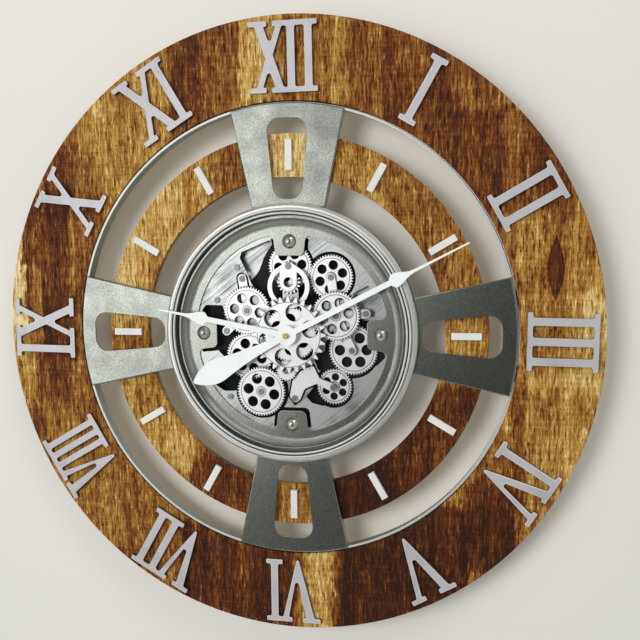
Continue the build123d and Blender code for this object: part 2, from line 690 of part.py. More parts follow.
# Stems before the letter, the letter, stems after it, stem width, gap between stems,
# gap to the letter, the letter's spread and how far the numeral stands clockwise of its hour in degrees
NUMERALS = {
    1: (0, None, 1, 7.4, 0.0, 0.0, 0.0, 0.0),
    2: (0, None, 2, 7.4, 13.0, 0.0, 0.0, 0.4),
    3: (0, None, 3, 7.4, 11.2, 0.0, 0.0, 0.8),
    4: (1, "V", 0, 7.4, 0.0, 4.0, 29.0, 2.4),
    5: (0, "V", 0, 7.4, 0.0, 0.0, 32.0, 0.8),
    6: (0, "V", 1, 7.4, 0.0, 3.8, 28.0, 0.2),
    7: (0, "V", 2, 7.4, 8.4, 3.8, 25.0, 0.0),
    8: (0, "V", 3, 6.2, 5.0, 3.2, 20.0, 0.0),
    9: (1, "X", 0, 7.4, 0.0, 6.0, 29.0, 0.8),
    10: (0, "X", 0, 7.4, 0.0, 0.0, 28.6, 0.0),
    11: (0, "X", 1, 7.4, 0.0, 5.6, 29.0, -1.1),
    12: (0, "X", 2, 7.4, 9.4, 3.2, 22.5, -0.5),
}
for hour, (*letters, clockwise) in NUMERALS.items():
    upright = at((0, NUMERAL_CENTRE_RADIUS), numeral_outline(*letters))
    keep(f"numeral_{hour}", slab(turned(-30 * hour - clockwise, upright), FACE_HEIGHT, NUMERAL_THICKNESS))


# Hour markers stand on the inner ring
marker = at((0, MARKER_CENTRE_RADIUS), Rectangle(MARKER_WIDTH, MARKER_LENGTH))
markers = [slab(turned(30 * hour, marker), INNER_RING_FRONT, MARKER_THICKNESS) for hour in range(12)]
keep("hour_markers", Compound(children=markers))


# Hoop and straps, one welded frame

QUARTERS = {"top": 0, "left": 90, "bottom": 180, "right": 270}


def strap_places():
    """Turn and sideways place of each strap, two behind every spoke."""
    return [(turn, side * STRAP_OFFSET) for turn in QUARTERS.values() for side in (-1, 1)]


hoop = slab(
    Circle(HOOP_RADIUS) - Circle(HOOP_RADIUS - HOOP_WALL), RING_BACK_HEIGHT, HOOP_FRONT - RING_BACK_HEIGHT
)
strap_bar = Rectangle(STRAP_WIDTH, STRAP_OUTER_RADIUS - STRAP_INNER_RADIUS)
strap_middle = (STRAP_OUTER_RADIUS + STRAP_INNER_RADIUS) / 2
for turn, offset in strap_places():
    strap = turned(turn, at((offset, strap_middle), strap_bar))
    hoop += slab(strap, RING_BACK_HEIGHT - STRAP_THICKNESS, STRAP_THICKNESS)
keep("hoop", hoop)

INNER_RING_SCREW_RADIUS = (STRAP_INNER_RADIUS + INNER_RING_RADIUS) / 2
OUTER_RING_SCREW_RADIUS = (STRAP_OUTER_RADIUS + OUTER_RING_HOLE_RADIUS) / 2
strap_screws = []
for turn, offset in strap_places():
    for radius in (INNER_RING_SCREW_RADIUS, OUTER_RING_SCREW_RADIUS):
        head = turned(turn, at((offset, radius), Circle(STRAP_SCREW_RADIUS)))
        base = RING_BACK_HEIGHT - STRAP_THICKNESS - STRAP_SCREW_HEIGHT
        strap_screws.append(slab(head, base, STRAP_SCREW_HEIGHT))
keep("strap_screws", Compound(children=strap_screws))


# Spokes: pressed trays whose skirts stand on the inner ring, with a window each

def taper(inner_radius, inner_width, outer_radius, outer_width, margin=0.0):
    """An upright tapered outline, widened all round by a margin."""
    corners = [
        (-inner_width / 2 - margin, inner_radius - margin),
        (inner_width / 2 + margin, inner_radius - margin),
        (outer_width / 2 + margin, outer_radius + margin),
        (-outer_width / 2 - margin, outer_radius + margin),
    ]
    return make_face(Polyline(corners, close=True))


def spoke_outline(margin=0.0):
    """The spoke's outline, with its outer end an arc about the clock's axis."""
    wedge = taper(SPOKE_INNER_RADIUS, SPOKE_INNER_WIDTH, SPOKE_OUTER_RADIUS, SPOKE_OUTER_WIDTH, margin)
    return wedge & Circle(SPOKE_OUTER_RADIUS + margin)


def spoke():
    skirt = SPOKE_FRONT - INNER_RING_FRONT
    hollow = HOOP_FRONT - INNER_RING_FRONT
    tray = slab(spoke_outline(), INNER_RING_FRONT, skirt)
    tray = fillet(tray.faces().sort_by(Axis.Y)[0].edges(), SPOKE_EDGE_ROUND)
    tray -= slab(spoke_outline(-SPOKE_SHEET), INNER_RING_FRONT, hollow)
    hoop_room = Circle(2 * HOOP_RADIUS) - Circle(HOOP_RADIUS - HOOP_WALL - LOOSE_CLEARANCE)
    drum_room = Circle(DRUM_FLANGE_RADIUS + LOOSE_CLEARANCE)
    tray -= slab(hoop_room + drum_room, INNER_RING_FRONT, hollow)
    window = taper(WINDOW_INNER_RADIUS, WINDOW_INNER_WIDTH, WINDOW_OUTER_RADIUS, WINDOW_OUTER_WIDTH)
    window = fillet(window.vertices(), WINDOW_CORNER)
    return tray - slab(window, HOOP_FRONT, SPOKE_SHEET)


upright_spoke = spoke()
for quarter, turn in QUARTERS.items():
    keep(f"spoke_{quarter}", Rot(0, -turn, 0) * upright_spoke)


# Drum, bezel and cover plate

DRUM_INNER_RADIUS = DRUM_RADIUS - DRUM_WALL
DRUM_FLANGE_BASE = SPOKE_FRONT - DRUM_FLANGE_THICKNESS
REAR_BOSSES = [polar(REAR_BOSS_CENTRE_RADIUS, bearing) for bearing in REAR_BOSS_BEARINGS]
LEDGE_BASE = DRUM_LEDGE_HEIGHT - DRUM_LEDGE_THICKNESS

drum = revolved([
    (DRUM_RADIUS, REAR_COVER_THICKNESS),
    (DRUM_RADIUS, DRUM_FLANGE_BASE),
    (DRUM_FLANGE_RADIUS, DRUM_FLANGE_BASE),
    (DRUM_FLANGE_RADIUS, SPOKE_FRONT),
    (DRUM_RADIUS, SPOKE_FRONT),
    (DRUM_RADIUS, DRUM_RIM_HEIGHT),
    (DRUM_INNER_RADIUS, DRUM_RIM_HEIGHT),
    (DRUM_INNER_RADIUS, DRUM_LEDGE_HEIGHT),
    (DRUM_INNER_RADIUS - DRUM_LEDGE_WIDTH, DRUM_LEDGE_HEIGHT),
    (DRUM_INNER_RADIUS - DRUM_LEDGE_WIDTH, LEDGE_BASE),
    (DRUM_INNER_RADIUS, LEDGE_BASE),
    (DRUM_INNER_RADIUS, REAR_COVER_THICKNESS),
])
for turn in QUARTERS.values():
    drum -= slab(turned(turn, spoke_outline(LOOSE_CLEARANCE)), HOOP_FRONT, SPOKE_SHEET)
for point in REAR_BOSSES:
    drum += disc(point, REAR_BOSS_RADIUS, REAR_COVER_THICKNESS, LEDGE_BASE - REAR_COVER_THICKNESS)
    drum -= disc(point, REAR_SCREW_RADIUS + RUNNING_CLEARANCE, REAR_COVER_THICKNESS, REAR_SCREW_LENGTH)
keep("drum", drum)

COVER_LIP_TOP = DRUM_RIM_HEIGHT + COVER_SHEET
BEAD_HEIGHT = BEZEL_CREST_HEIGHT - BEAD_ROUND
BEZEL_STEP_HEIGHT = BEZEL_CREST_HEIGHT - BEZEL_STEP_DROP
bezel_outline = [
    (DRUM_RADIUS + LOOSE_CLEARANCE, SPOKE_FRONT),
    (DRUM_FLANGE_RADIUS, SPOKE_FRONT),
    (DRUM_FLANGE_RADIUS, BEZEL_STEP_HEIGHT - BEZEL_STEP_DROP),
    (BEZEL_STEP_RADIUS, BEZEL_STEP_HEIGHT),
    (BEAD_OUTER_RADIUS + BEAD_ROUND, BEZEL_STEP_HEIGHT),
    (BEAD_OUTER_RADIUS + BEAD_ROUND, BEAD_HEIGHT),
    (BEAD_INNER_RADIUS - BEAD_ROUND, BEAD_HEIGHT),
    (BEZEL_INNER_RADIUS, BEZEL_STEP_HEIGHT),
    (BEZEL_INNER_RADIUS, COVER_LIP_TOP),
    (DRUM_RADIUS + LOOSE_CLEARANCE, COVER_LIP_TOP),
]
bezel_section = make_face(Polyline([(radius, -height) for radius, height in bezel_outline], close=True))
for bead_radius in (BEAD_INNER_RADIUS, BEAD_OUTER_RADIUS):
    bezel_section += Pos(bead_radius, -BEAD_HEIGHT) * Circle(BEAD_ROUND)
keep("bezel", revolve(bezel_section, axis=Axis.Y))

lug = taper(LUG_REACH_RADIUS, LUG_TIP_WIDTH, COVER_FLAT_RADIUS, LUG_ROOT_WIDTH)
lug = fillet(lug.vertices().sort_by(Axis.Y)[:2], LUG_CORNER)
lug &= Circle(COVER_FLAT_RADIUS)
cover_flat = Circle(COVER_FLAT_RADIUS) - Circle(COVER_OPENING_RADIUS)
cover_flat += [turned(turn, lug) for turn in QUARTERS.values()]
lug_roots = [v for v in cover_flat.vertices() if abs(hypot(v.X, v.Y) - COVER_OPENING_RADIUS) < LOOSE_CLEARANCE]
cover_flat = fillet(lug_roots, LUG_ROOT_ROUND)
cover = slab(cover_flat, COVER_BACK_HEIGHT, COVER_SHEET)
flat_front = (COVER_FLAT_RADIUS, -COVER_FRONT_HEIGHT)
flat_back = (COVER_FLAT_RADIUS, -COVER_BACK_HEIGHT)
dish_front = (COVER_DISH_RADIUS, -COVER_LIP_TOP)
dish_back = (COVER_DISH_RADIUS + COVER_SHEET, -DRUM_RIM_HEIGHT)
dish_section = make_face([
    TangentArc(flat_front, dish_front, tangent=(1, 0)),
    Polyline([dish_front, (DRUM_RADIUS, -COVER_LIP_TOP), (DRUM_RADIUS, -DRUM_RIM_HEIGHT), dish_back]),
    TangentArc(flat_back, dish_back, tangent=(1, 0)),
    Line(flat_back, flat_front),
])
cover += revolve(dish_section, axis=Axis.Y)
keep("cover_plate", cover)

COVER_SCREWS = {quarter: polar(COVER_SCREW_RADIUS, 90 + turn) for quarter, turn in QUARTERS.items()}
DOME_RADIUS = (COVER_SCREW_HEAD_RADIUS ** 2 + COVER_SCREW_HEAD_HEIGHT ** 2) / (2 * COVER_SCREW_HEAD_HEIGHT)
dome_centre = COVER_FRONT_HEIGHT + COVER_SCREW_HEAD_HEIGHT - DOME_RADIUS
cover_screws = []
for x, z in COVER_SCREWS.values():
    ball = Pos(x, -dome_centre, z) * Sphere(DOME_RADIUS)
    cover_screws.append(ball & disc((x, z), COVER_SCREW_HEAD_RADIUS, COVER_FRONT_HEIGHT, DOME_RADIUS))
keep("cover_screws", Compound(children=cover_screws))


# Plates, pillars and bridges of the gear module

GUARD_BAND_RADIUS = (GUARD_RING_RADIUS + GUARD_RING_HOLE_RADIUS) / 2
GUARD_FEET = [beside(GUARD_RING, GUARD_BAND_RADIUS, bearing) for bearing in GUARD_FOOT_BEARINGS]
SLEEVE_ROOM = HUB_RADIUS + LOOSE_CLEARANCE


def fine_cutout(point, teeth, margin):
    """A round cut-out in the middle plate round a wheel of fine teeth."""
    return at(point, Circle(tip_radius(teeth, FINE_MODULE) + margin))


back_plate = disc(CENTRE, DRUM_INNER_RADIUS - LOOSE_CLEARANCE, BACK_PLATE_BASE, BACK_PLATE_THICKNESS)
back_plate -= disc(CENTRE, MOVEMENT_TUBE_RADIUS + LOOSE_CLEARANCE, BACK_PLATE_BASE, BACK_PLATE_THICKNESS)
back_plate -= disc(MOTOR, MOTOR_SHAFT_RADIUS + LOOSE_CLEARANCE, BACK_PLATE_BASE, BACK_PLATE_THICKNESS)
keep("back_plate", back_plate)

left_bridge_bars = [(LEFT_BRIDGE_HEAD, LEFT), (LEFT, LEFT_BRIDGE_FOOT)]
right_bridge_bars = [(UPPER_RIGHT, RIGHT), (RIGHT, LOWER_RIGHT), (RIGHT, RIGHT_BRIDGE_FOOT)]


def bridge(bars, margin=0.0):
    """Flat bars between points, widened all round by a margin."""
    links = [link(start, end, BRIDGE_WIDTH + 2 * margin) for start, end in bars]
    return links[0] + links[1:]


def rounded(corners, radius):
    """A flat outline with rounded corners."""
    return softened(corners, radius, radius)


def widened(corners, margin):
    """A flat outline with a band of one width all round it."""
    bands = [link(start, end, 2 * margin) for start, end in zip(corners, corners[1:] + corners[:1])]
    return make_face(Polyline(corners, close=True)) + bands


bottom_bridge = rounded(BOTTOM_BRIDGE_OUTLINE, BOTTOM_BRIDGE_ROUND)
mid_plate_outline = Circle(MID_PLATE_RADIUS) - [
    Circle(tip_radius(CENTRE_TEETH, FINE_MODULE) + CUTOUT_MARGIN),
    fine_cutout(UPPER_RIGHT, UPPER_RIGHT_TEETH, CUTOUT_MARGIN),
    fine_cutout(TOP, TOP_TEETH, CUTOUT_MARGIN),
    fine_cutout(LOWER_RIGHT, LOWER_RIGHT_TEETH, CUTOUT_MARGIN),
    fine_cutout(SMALL, SMALL_TEETH, CUTOUT_MARGIN),
    fine_cutout(LEFT_LOWER, LEFT_LOWER_TEETH, CUTOUT_MARGIN),
    fine_cutout(BOTTOM_LEFT, BOTTOM_LEFT_TEETH, CUTOUT_MARGIN),
    link(UPPER_RIGHT, TOP, CUTOUT_NECK),
    link(LOWER_RIGHT, SMALL, CUTOUT_NECK),
    link(LEFT_LOWER, BOTTOM_LEFT, CUTOUT_NECK),
    bridge(left_bridge_bars, BRIDGE_MARGIN),
    bridge(right_bridge_bars, BRIDGE_MARGIN),
    at(RIGHT, Circle(BRIDGE_WIDTH + BRIDGE_MARGIN)),
    widened(BOTTOM_BRIDGE_OUTLINE, BRIDGE_MARGIN),
    at(IDLER, Circle(SLEEVE_ROOM)),
]
mid_plate_outline -= [rounded(corners, PLATE_OPENING_ROUND) for corners in PLATE_OPENINGS.values()]
pocket = taper(LUG_REACH_RADIUS, LUG_TIP_WIDTH, COVER_FLAT_RADIUS, LUG_ROOT_WIDTH, POCKET_MARGIN)
pocket = fillet(pocket.vertices().sort_by(Axis.Y)[:2], LUG_CORNER) & Circle(COVER_OPENING_RADIUS - POCKET_MARGIN)
mid_plate_outline -= [turned(turn, pocket) for turn in QUARTERS.values()]
mid_plate_outline = mid_plate_outline.faces().sort_by(SortBy.AREA)[-1]
keep("mid_plate", slab(mid_plate_outline, MID_PLATE_BASE, MID_PLATE_SHEET))

BRIDGE_FEET = [LEFT_BRIDGE_HEAD, LEFT_BRIDGE_FOOT, RIGHT_BRIDGE_FOOT, BOTTOM_BRIDGE_FOOT, BOTTOM_BRIDGE_HEAD]
floor_holes = [at(point, Circle(PILLAR_RADIUS + LOOSE_CLEARANCE)) for point in PLATE_SCREWS + BRIDGE_FEET]
floor_plates = []
for corners in FLOOR_PLATES.values():
    floor_outline = rounded(corners, FLOOR_PLATE_SHEET) - floor_holes
    floor_plates.append(slab(floor_outline, BACK_PLATE_FRONT, FLOOR_PLATE_SHEET))
keep("floor_plates", Compound(children=floor_plates))

left_bridge = bridge(left_bridge_bars) - at(LEFT, Circle(SLEEVE_ROOM))
keep("left_bridge", slab(left_bridge, BRIDGE_BASE, BRIDGE_SHEET))
right_bridge = bridge(right_bridge_bars) + at(RIGHT, Circle(BRIDGE_WIDTH)) - at(RIGHT, Circle(SLEEVE_ROOM))
keep("right_bridge", slab(right_bridge, BRIDGE_BASE, BRIDGE_SHEET))
keep("bottom_bridge", slab(bottom_bridge, BRIDGE_BASE, BRIDGE_SHEET))

GUARD_SHOULDER = polar(GUARD_RING_RADIUS, GUARD_SHOULDER_BEARING)
guard_apex = make_face(Polyline(
    [
        (GUARD_RING[0] - GUARD_SHOULDER[0], GUARD_RING[1] + GUARD_SHOULDER[1]),
        (GUARD_RING[0] + GUARD_SHOULDER[0], GUARD_RING[1] + GUARD_SHOULDER[1]),
        (TOP[0] + GUARD_APEX_HALF, TOP[1] + GUARD_APEX_HALF),
        (TOP[0] - GUARD_APEX_HALF, TOP[1] + GUARD_APEX_HALF),
    ],
    close=True,
))
GUARD_EYE_RADIUS = GUARD_TUBE_RADIUS + GUARD_EYE_WALL
guard_outline = at(GUARD_RING, Circle(GUARD_RING_RADIUS)) + guard_apex
guard_outline -= at(GUARD_RING, Circle(GUARD_RING_HOLE_RADIUS))
guard_outline += link(GUARD, TOP, 2 * GUARD_EYE_RADIUS) & at(GUARD_RING, Circle(GUARD_RING_RADIUS))
guard_outline -= at(GUARD, Circle(GUARD_TUBE_RADIUS - GUARD_TUBE_WALL))
guard_ring = slab(guard_outline, GUARD_BASE, BRIDGE_SHEET)
GUARD_COLLAR_BASE = LAYER_B_BASE - STUD_CAP_GAP - GUARD_COLLAR_HEIGHT
tube = disc(GUARD, GUARD_TUBE_RADIUS, GUARD_COLLAR_BASE, GUARD_BASE - GUARD_COLLAR_BASE)
tube += disc(GUARD, GUARD_TUBE_RADIUS + GUARD_COLLAR_STEP, GUARD_COLLAR_BASE, GUARD_COLLAR_HEIGHT)
tube -= disc(GUARD, GUARD_TUBE_RADIUS - GUARD_TUBE_WALL, GUARD_COLLAR_BASE, GUARD_BASE - GUARD_COLLAR_BASE)
keep("guard_ring", guard_ring + tube)


def pillar(point, radius, base, top):
    return disc(point, radius, base, top - base)


COVERED_PILLAR_RADIUS = MID_PLATE_RADIUS - COVERED_PILLAR_INSET
covered_pillars = [polar(COVERED_PILLAR_RADIUS, bearing) for bearing in COVERED_PILLAR_BEARINGS]
plate_pillars = PLATE_SCREWS + covered_pillars
pillars = [pillar(point, PILLAR_RADIUS, BACK_PLATE_FRONT, MID_PLATE_BASE) for point in plate_pillars]
pillars += [pillar(point, PILLAR_RADIUS, BACK_PLATE_FRONT, BRIDGE_BASE) for point in BRIDGE_FEET]
pillars += [pillar(point, PILLAR_RADIUS, BACK_PLATE_FRONT, GUARD_BASE) for point in GUARD_FEET]
for quarter in ("left", "bottom", "right"):
    pillars.append(pillar(COVER_SCREWS[quarter], POST_RADIUS, BACK_PLATE_FRONT, COVER_BACK_HEIGHT))
keep("module_pillars", Compound(children=pillars))

SCREW_SEATS = [(point, MID_PLATE_FRONT) for point in PLATE_SCREWS]
SCREW_SEATS += [(point, BRIDGE_FRONT) for point in BRIDGE_FEET[:-1]]
SCREW_SEATS += [(point, BRIDGE_FRONT) for point in (UPPER_RIGHT, LOWER_RIGHT, SMALL)]
SCREW_SEATS.append((TOP, GUARD_FRONT))
screws = [disc(point, SCREW_HEAD_RADIUS, seat, SCREW_HEAD_HEIGHT) for point, seat in SCREW_SEATS]
keep("module_screws", Compound(children=screws))

studs = [stud(point, LAYER_B_FRONT + STUD_CAP_GAP, True) for point in (RIGHT, LEFT, BOTTOM_LEFT, IDLER)]
studs.append(stud(LEFT_LOWER, LAYER_C_FRONT + STUD_CAP_GAP, True))
studs += [stud(point, BRIDGE_BASE, False) for point in (UPPER_RIGHT, LOWER_RIGHT, SMALL)]
studs.append(stud(TOP, GUARD_BASE, False))
keep("wheel_studs", Compound(children=studs))


# The gear train

HUB_BASE = BACK_PLATE_FRONT + STUD_CAP_GAP

centre_wheel = slab(
    toothed(COARSE_TEETH, COARSE_MODULE, CENTRE_PHASE)
    - web_holes(WEB_HOLES, COARSE_HOLE_RADIUS, COARSE_HOLE_CENTRE_RADIUS, 15),
    LAYER_A_BASE,
    WHEEL_THICKNESS,
)
coarse_hole_reach = COARSE_HOLE_CENTRE_RADIUS + COARSE_HOLE_RADIUS
coarse_rim_middle = (coarse_hole_reach + root_radius(COARSE_TEETH, COARSE_MODULE)) / 2
centre_wheel -= groove(CENTRE, coarse_rim_middle, LAYER_A_FRONT)
centre_wheel += slab(
    holed_wheel(CENTRE_TEETH, FINE_MODULE, CENTRE_PHASE), LAYER_C_BASE, LAYER_B_FRONT - LAYER_C_BASE
)
CENTRE_HUB_BASE = BACK_PLATE_FRONT + MOVEMENT_NUT_HEIGHT + STUD_CAP_GAP
CENTRE_HUB_LENGTH = LAYER_A_FRONT - CENTRE_HUB_BASE
centre_wheel += disc(CENTRE, CENTRE_HUB_RADIUS, CENTRE_HUB_BASE, CENTRE_HUB_LENGTH)
centre_wheel -= disc(CENTRE, MOVEMENT_TUBE_RADIUS + RUNNING_CLEARANCE, CENTRE_HUB_BASE, CENTRE_HUB_LENGTH)
keep("centre_wheel", centre_wheel)

right_pinions = [
    (RIGHT_UPPER_PINION_TEETH, FINE_MODULE, PINION_PHASE, LAYER_C_BASE),
    (RIGHT_LOWER_PINION_TEETH, FINE_MODULE, PINION_PHASE, LAYER_D_BASE),
]
keep("right_wheel", wheel(
    RIGHT, RIGHT_TEETH, FINE_MODULE, RIGHT_PHASE, LAYER_B_BASE, HUB_BASE, LAYER_B_FRONT, right_pinions
))
keep("top_wheel", wheel(
    TOP, TOP_TEETH, FINE_MODULE, TOP_PHASE, LAYER_C_BASE, HUB_BASE, LAYER_B_FRONT,
    [(TOP_PINION_TEETH, GUARD_MODULE, PINION_PHASE, LAYER_B_BASE)],
))
PLAIN_WHEELS = {
    "left_wheel": (LEFT, LEFT_TEETH, LEFT_PHASE, LAYER_B_BASE, LAYER_B_FRONT),
    "left_lower_wheel": (LEFT_LOWER, LEFT_LOWER_TEETH, LEFT_LOWER_PHASE, LAYER_C_BASE, LAYER_C_FRONT),
    "bottom_left_wheel": (BOTTOM_LEFT, BOTTOM_LEFT_TEETH, BOTTOM_LEFT_PHASE, LAYER_B_BASE, LAYER_B_FRONT),
    "upper_right_wheel": (UPPER_RIGHT, UPPER_RIGHT_TEETH, UPPER_RIGHT_PHASE, LAYER_C_BASE, LAYER_C_FRONT),
    "lower_right_wheel": (LOWER_RIGHT, LOWER_RIGHT_TEETH, LOWER_RIGHT_PHASE, LAYER_D_BASE, LAYER_D_FRONT),
    "small_wheel": (SMALL, SMALL_TEETH, SMALL_PHASE, LAYER_D_BASE, LAYER_D_FRONT),
}
for node, (point, teeth, phase, base, front) in PLAIN_WHEELS.items():
    keep(node, wheel(point, teeth, FINE_MODULE, phase, base, HUB_BASE, front))

idler = slab(at(IDLER, toothed(IDLER_TEETH, FINE_MODULE, IDLER_PHASE)), LAYER_B_BASE, WHEEL_THICKNESS)
idler += disc(IDLER, HUB_RADIUS, HUB_BASE, LAYER_B_BASE - HUB_BASE)
keep("idler_pinion", idler - disc(IDLER, STUD_RADIUS + RUNNING_CLEARANCE, HUB_BASE, LAYER_B_FRONT - HUB_BASE))

guard_gear = toothed(GUARD_TEETH, GUARD_MODULE, GUARD_PHASE) - Circle(GUARD_TUBE_RADIUS + RUNNING_CLEARANCE)
keep("guard_gear", slab(at(GUARD, guard_gear), LAYER_B_BASE, WHEEL_THICKNESS))

MOTOR_SHAFT_BASE = MOVEMENT_FRONT - MOTOR_SHAFT_DEPTH
motor_pinion = slab(at(MOTOR, toothed(MOTOR_TEETH, FINE_MODULE, MOTOR_PHASE)), LAYER_C_BASE, WHEEL_THICKNESS)
motor_pinion += disc(MOTOR, MOTOR_SHAFT_RADIUS, MOTOR_SHAFT_BASE, LAYER_C_BASE - MOTOR_SHAFT_BASE)
keep("motor_pinion", motor_pinion)

gear_motor = disc(MOTOR, MOTOR_RADIUS, MOVEMENT_FRONT - MOTOR_LENGTH, MOTOR_LENGTH)
gear_motor -= disc(MOTOR, MOTOR_SHAFT_RADIUS + RUNNING_CLEARANCE, MOTOR_SHAFT_BASE, MOTOR_SHAFT_DEPTH)
keep("gear_motor", gear_motor)


# Movement, hands and setting knob

KNOB = (0.0, KNOB_RISE)
PIPE_BASE = MOVEMENT_BACK + KNOB_STEM_DEPTH
PIPE_BORE = HOUR_PIPE_RADIUS + RUNNING_CLEARANCE


def cell_trough(centre, base, depth):
    """Room for one cell that lies along X, open towards the wall."""
    room = Rectangle(CELL_SPAN + 2 * CELL_ROOM, 2 * (CELL_RADIUS + CELL_ROOM))
    return slab(at((0, centre), room), base, depth)


movement = slab(Rectangle(MOVEMENT_SIDE, MOVEMENT_SIDE), MOVEMENT_BACK, MOVEMENT_DEPTH)
movement = fillet(movement.edges().filter_by(Axis.Y), MOVEMENT_CORNER)
movement += disc(CENTRE, MOVEMENT_TUBE_RADIUS, MOVEMENT_FRONT, MOVEMENT_TUBE_END - MOVEMENT_FRONT)
movement -= disc(CENTRE, PIPE_BORE, PIPE_BASE, MOVEMENT_TUBE_END - PIPE_BASE)
movement -= disc(KNOB, KNOB_STEM_RADIUS + RUNNING_CLEARANCE, MOVEMENT_BACK, KNOB_STEM_DEPTH)
movement -= cell_trough(MOVEMENT_CELL_CENTRE, MOVEMENT_BACK, MOVEMENT_DEPTH - BATTERY_BOX_WALL)
keep("quartz_movement", movement)

nut = RegularPolygon(MOVEMENT_NUT_HEX / 2, 6, major_radius=False)
nut -= Circle(MOVEMENT_TUBE_RADIUS + RUNNING_CLEARANCE)
keep("movement_nut", slab(nut, BACK_PLATE_FRONT, MOVEMENT_NUT_HEIGHT))


def pointer(length, spade_radius, spade_width):
    """A hand along +X: a stem, a spade with a square shoulder and a long needle."""
    shoulder = spade_radius + SPADE_SHOULDER
    needle = spade_radius + SPADE_LENGTH
    waist = shoulder + SPADE_FULLNESS * (needle - shoulder)

    def side(sign):
        """The stem, the shoulder, the spade's curve and the needle on one side."""
        return [
            Line((0, sign * HAND_STEM_ROOT_WIDTH / 2), (spade_radius, sign * HAND_STEM_END_WIDTH / 2)),
            Line((spade_radius, sign * HAND_STEM_END_WIDTH / 2), (shoulder, sign * spade_width / 2)),
            Bezier(
                (shoulder, sign * spade_width / 2),
                (waist, sign * spade_width / 2),
                (waist, sign * NEEDLE_ROOT_WIDTH / 2),
                (needle, sign * NEEDLE_ROOT_WIDTH / 2),
            ),
            Line((needle, sign * NEEDLE_ROOT_WIDTH / 2), (length, sign * NEEDLE_TIP_WIDTH / 2)),
        ]

    root = Line((0, -HAND_STEM_ROOT_WIDTH / 2), (0, HAND_STEM_ROOT_WIDTH / 2))
    tip = Line((length, -NEEDLE_TIP_WIDTH / 2), (length, NEEDLE_TIP_WIDTH / 2))
    return make_face(side(1) + side(-1) + [root, tip])


def tail():
    """A leaf-shaped tail along -X."""
    stations = [(0.0, HAND_STEM_ROOT_WIDTH)] + TAIL_WIDTHS + [(TAIL_LENGTH, TAIL_TIP_WIDTH)]
    upper = [(-distance, width / 2) for distance, width in stations]
    lower = [(-distance, -width / 2) for distance, width in stations]
    return make_face([Spline(upper), Spline(lower), Line(upper[0], lower[0]), Line(upper[-1], lower[-1])])


hour_outline = pointer(HOUR_HAND_LENGTH, HOUR_SPADE_RADIUS, HOUR_SPADE_WIDTH)
hour_outline = turned(HOUR_BEARING, hour_outline) + Circle(HAND_BOSS_RADIUS)
hour_hand = slab(hour_outline, HOUR_HAND_BASE, HAND_SHEET)
PIPE_END_CLEARANCE = PIPE_BASE + STUD_CAP_GAP
hour_hand += disc(CENTRE, HOUR_PIPE_RADIUS, PIPE_END_CLEARANCE, HOUR_HAND_BASE - PIPE_END_CLEARANCE)
arbor_bore = MINUTE_ARBOR_RADIUS + RUNNING_CLEARANCE
hour_hand -= disc(CENTRE, arbor_bore, PIPE_END_CLEARANCE, HOUR_HAND_BASE + HAND_SHEET - PIPE_END_CLEARANCE)
keep("hour_hand", hour_hand)

MINUTE_HAND_FRONT = MINUTE_HAND_BASE + HAND_SHEET
minute_outline = pointer(MINUTE_HAND_LENGTH, MINUTE_SPADE_RADIUS, MINUTE_SPADE_WIDTH) + tail()
minute_outline = turned(MINUTE_BEARING, minute_outline) + Circle(HAND_BOSS_RADIUS)
minute_hand = slab(minute_outline, MINUTE_HAND_BASE, HAND_SHEET)
minute_hand += disc(CENTRE, MINUTE_ARBOR_RADIUS, PIPE_END_CLEARANCE, MINUTE_HAND_BASE - PIPE_END_CLEARANCE)
keep("minute_hand", minute_hand)
keep("hand_nut", disc(CENTRE, HAND_NUT_RADIUS, MINUTE_HAND_FRONT, HUB_TOP_HEIGHT - MINUTE_HAND_FRONT))

KNOB_BASE = MOVEMENT_BACK - STUD_CAP_GAP - KNOB_LENGTH
knob_outline = Circle(KNOB_RADIUS) - web_holes(KNOB_FLUTES, KNOB_FLUTE_RADIUS, KNOB_RADIUS, 0)
knob = slab(at(KNOB, knob_outline), KNOB_BASE, KNOB_LENGTH)
knob += disc(KNOB, KNOB_STEM_RADIUS, KNOB_BASE, KNOB_LENGTH + KNOB_STEM_DEPTH)
keep("setting_knob", knob)


# Batteries, box, door and rear cover

BOX_BACK = MOVEMENT_BACK - CELL_AXIS_DEPTH
BOX_CELLS = [BATTERY_BOX_CENTRE + side * CELL_PITCH / 2 for side in (-1, 1)]
BOX_HEIGHT = CELL_PITCH + 2 * (CELL_RADIUS + CELL_ROOM + BATTERY_BOX_WALL)
BOX_WIDTH = CELL_SPAN + 2 * (CELL_ROOM + BATTERY_BOX_WALL)
box_block = at((0, BATTERY_BOX_CENTRE), Rectangle(BOX_WIDTH, BOX_HEIGHT))
battery_box = slab(box_block, BOX_BACK, MOVEMENT_FRONT - BOX_BACK)
box_room = Rectangle(CELL_SPAN + 2 * CELL_ROOM, BOX_HEIGHT - 2 * BATTERY_BOX_WALL)
battery_box -= slab(at((0, BATTERY_BOX_CENTRE), box_room), BOX_BACK, MOVEMENT_DEPTH)
keep("battery_box", battery_box)


def cell(centre, front):
    """One cell along X whose side rests on a floor at the given height."""
    can = Cylinder(CELL_RADIUS, CELL_LENGTH)
    can += Pos(0, 0, CELL_SPAN / 2) * Cylinder(CELL_CAP_RADIUS, CELL_CAP_LENGTH)
    return Pos(-CELL_CAP_LENGTH / 2, -(front - CELL_RADIUS), centre) * Rot(0, 90, 0) * can


cells = [cell(centre, BOX_BACK + MOVEMENT_DEPTH) for centre in BOX_CELLS]
cells.append(cell(MOVEMENT_CELL_CENTRE, MOVEMENT_FRONT - BATTERY_BOX_WALL))
keep("batteries", Compound(children=cells))

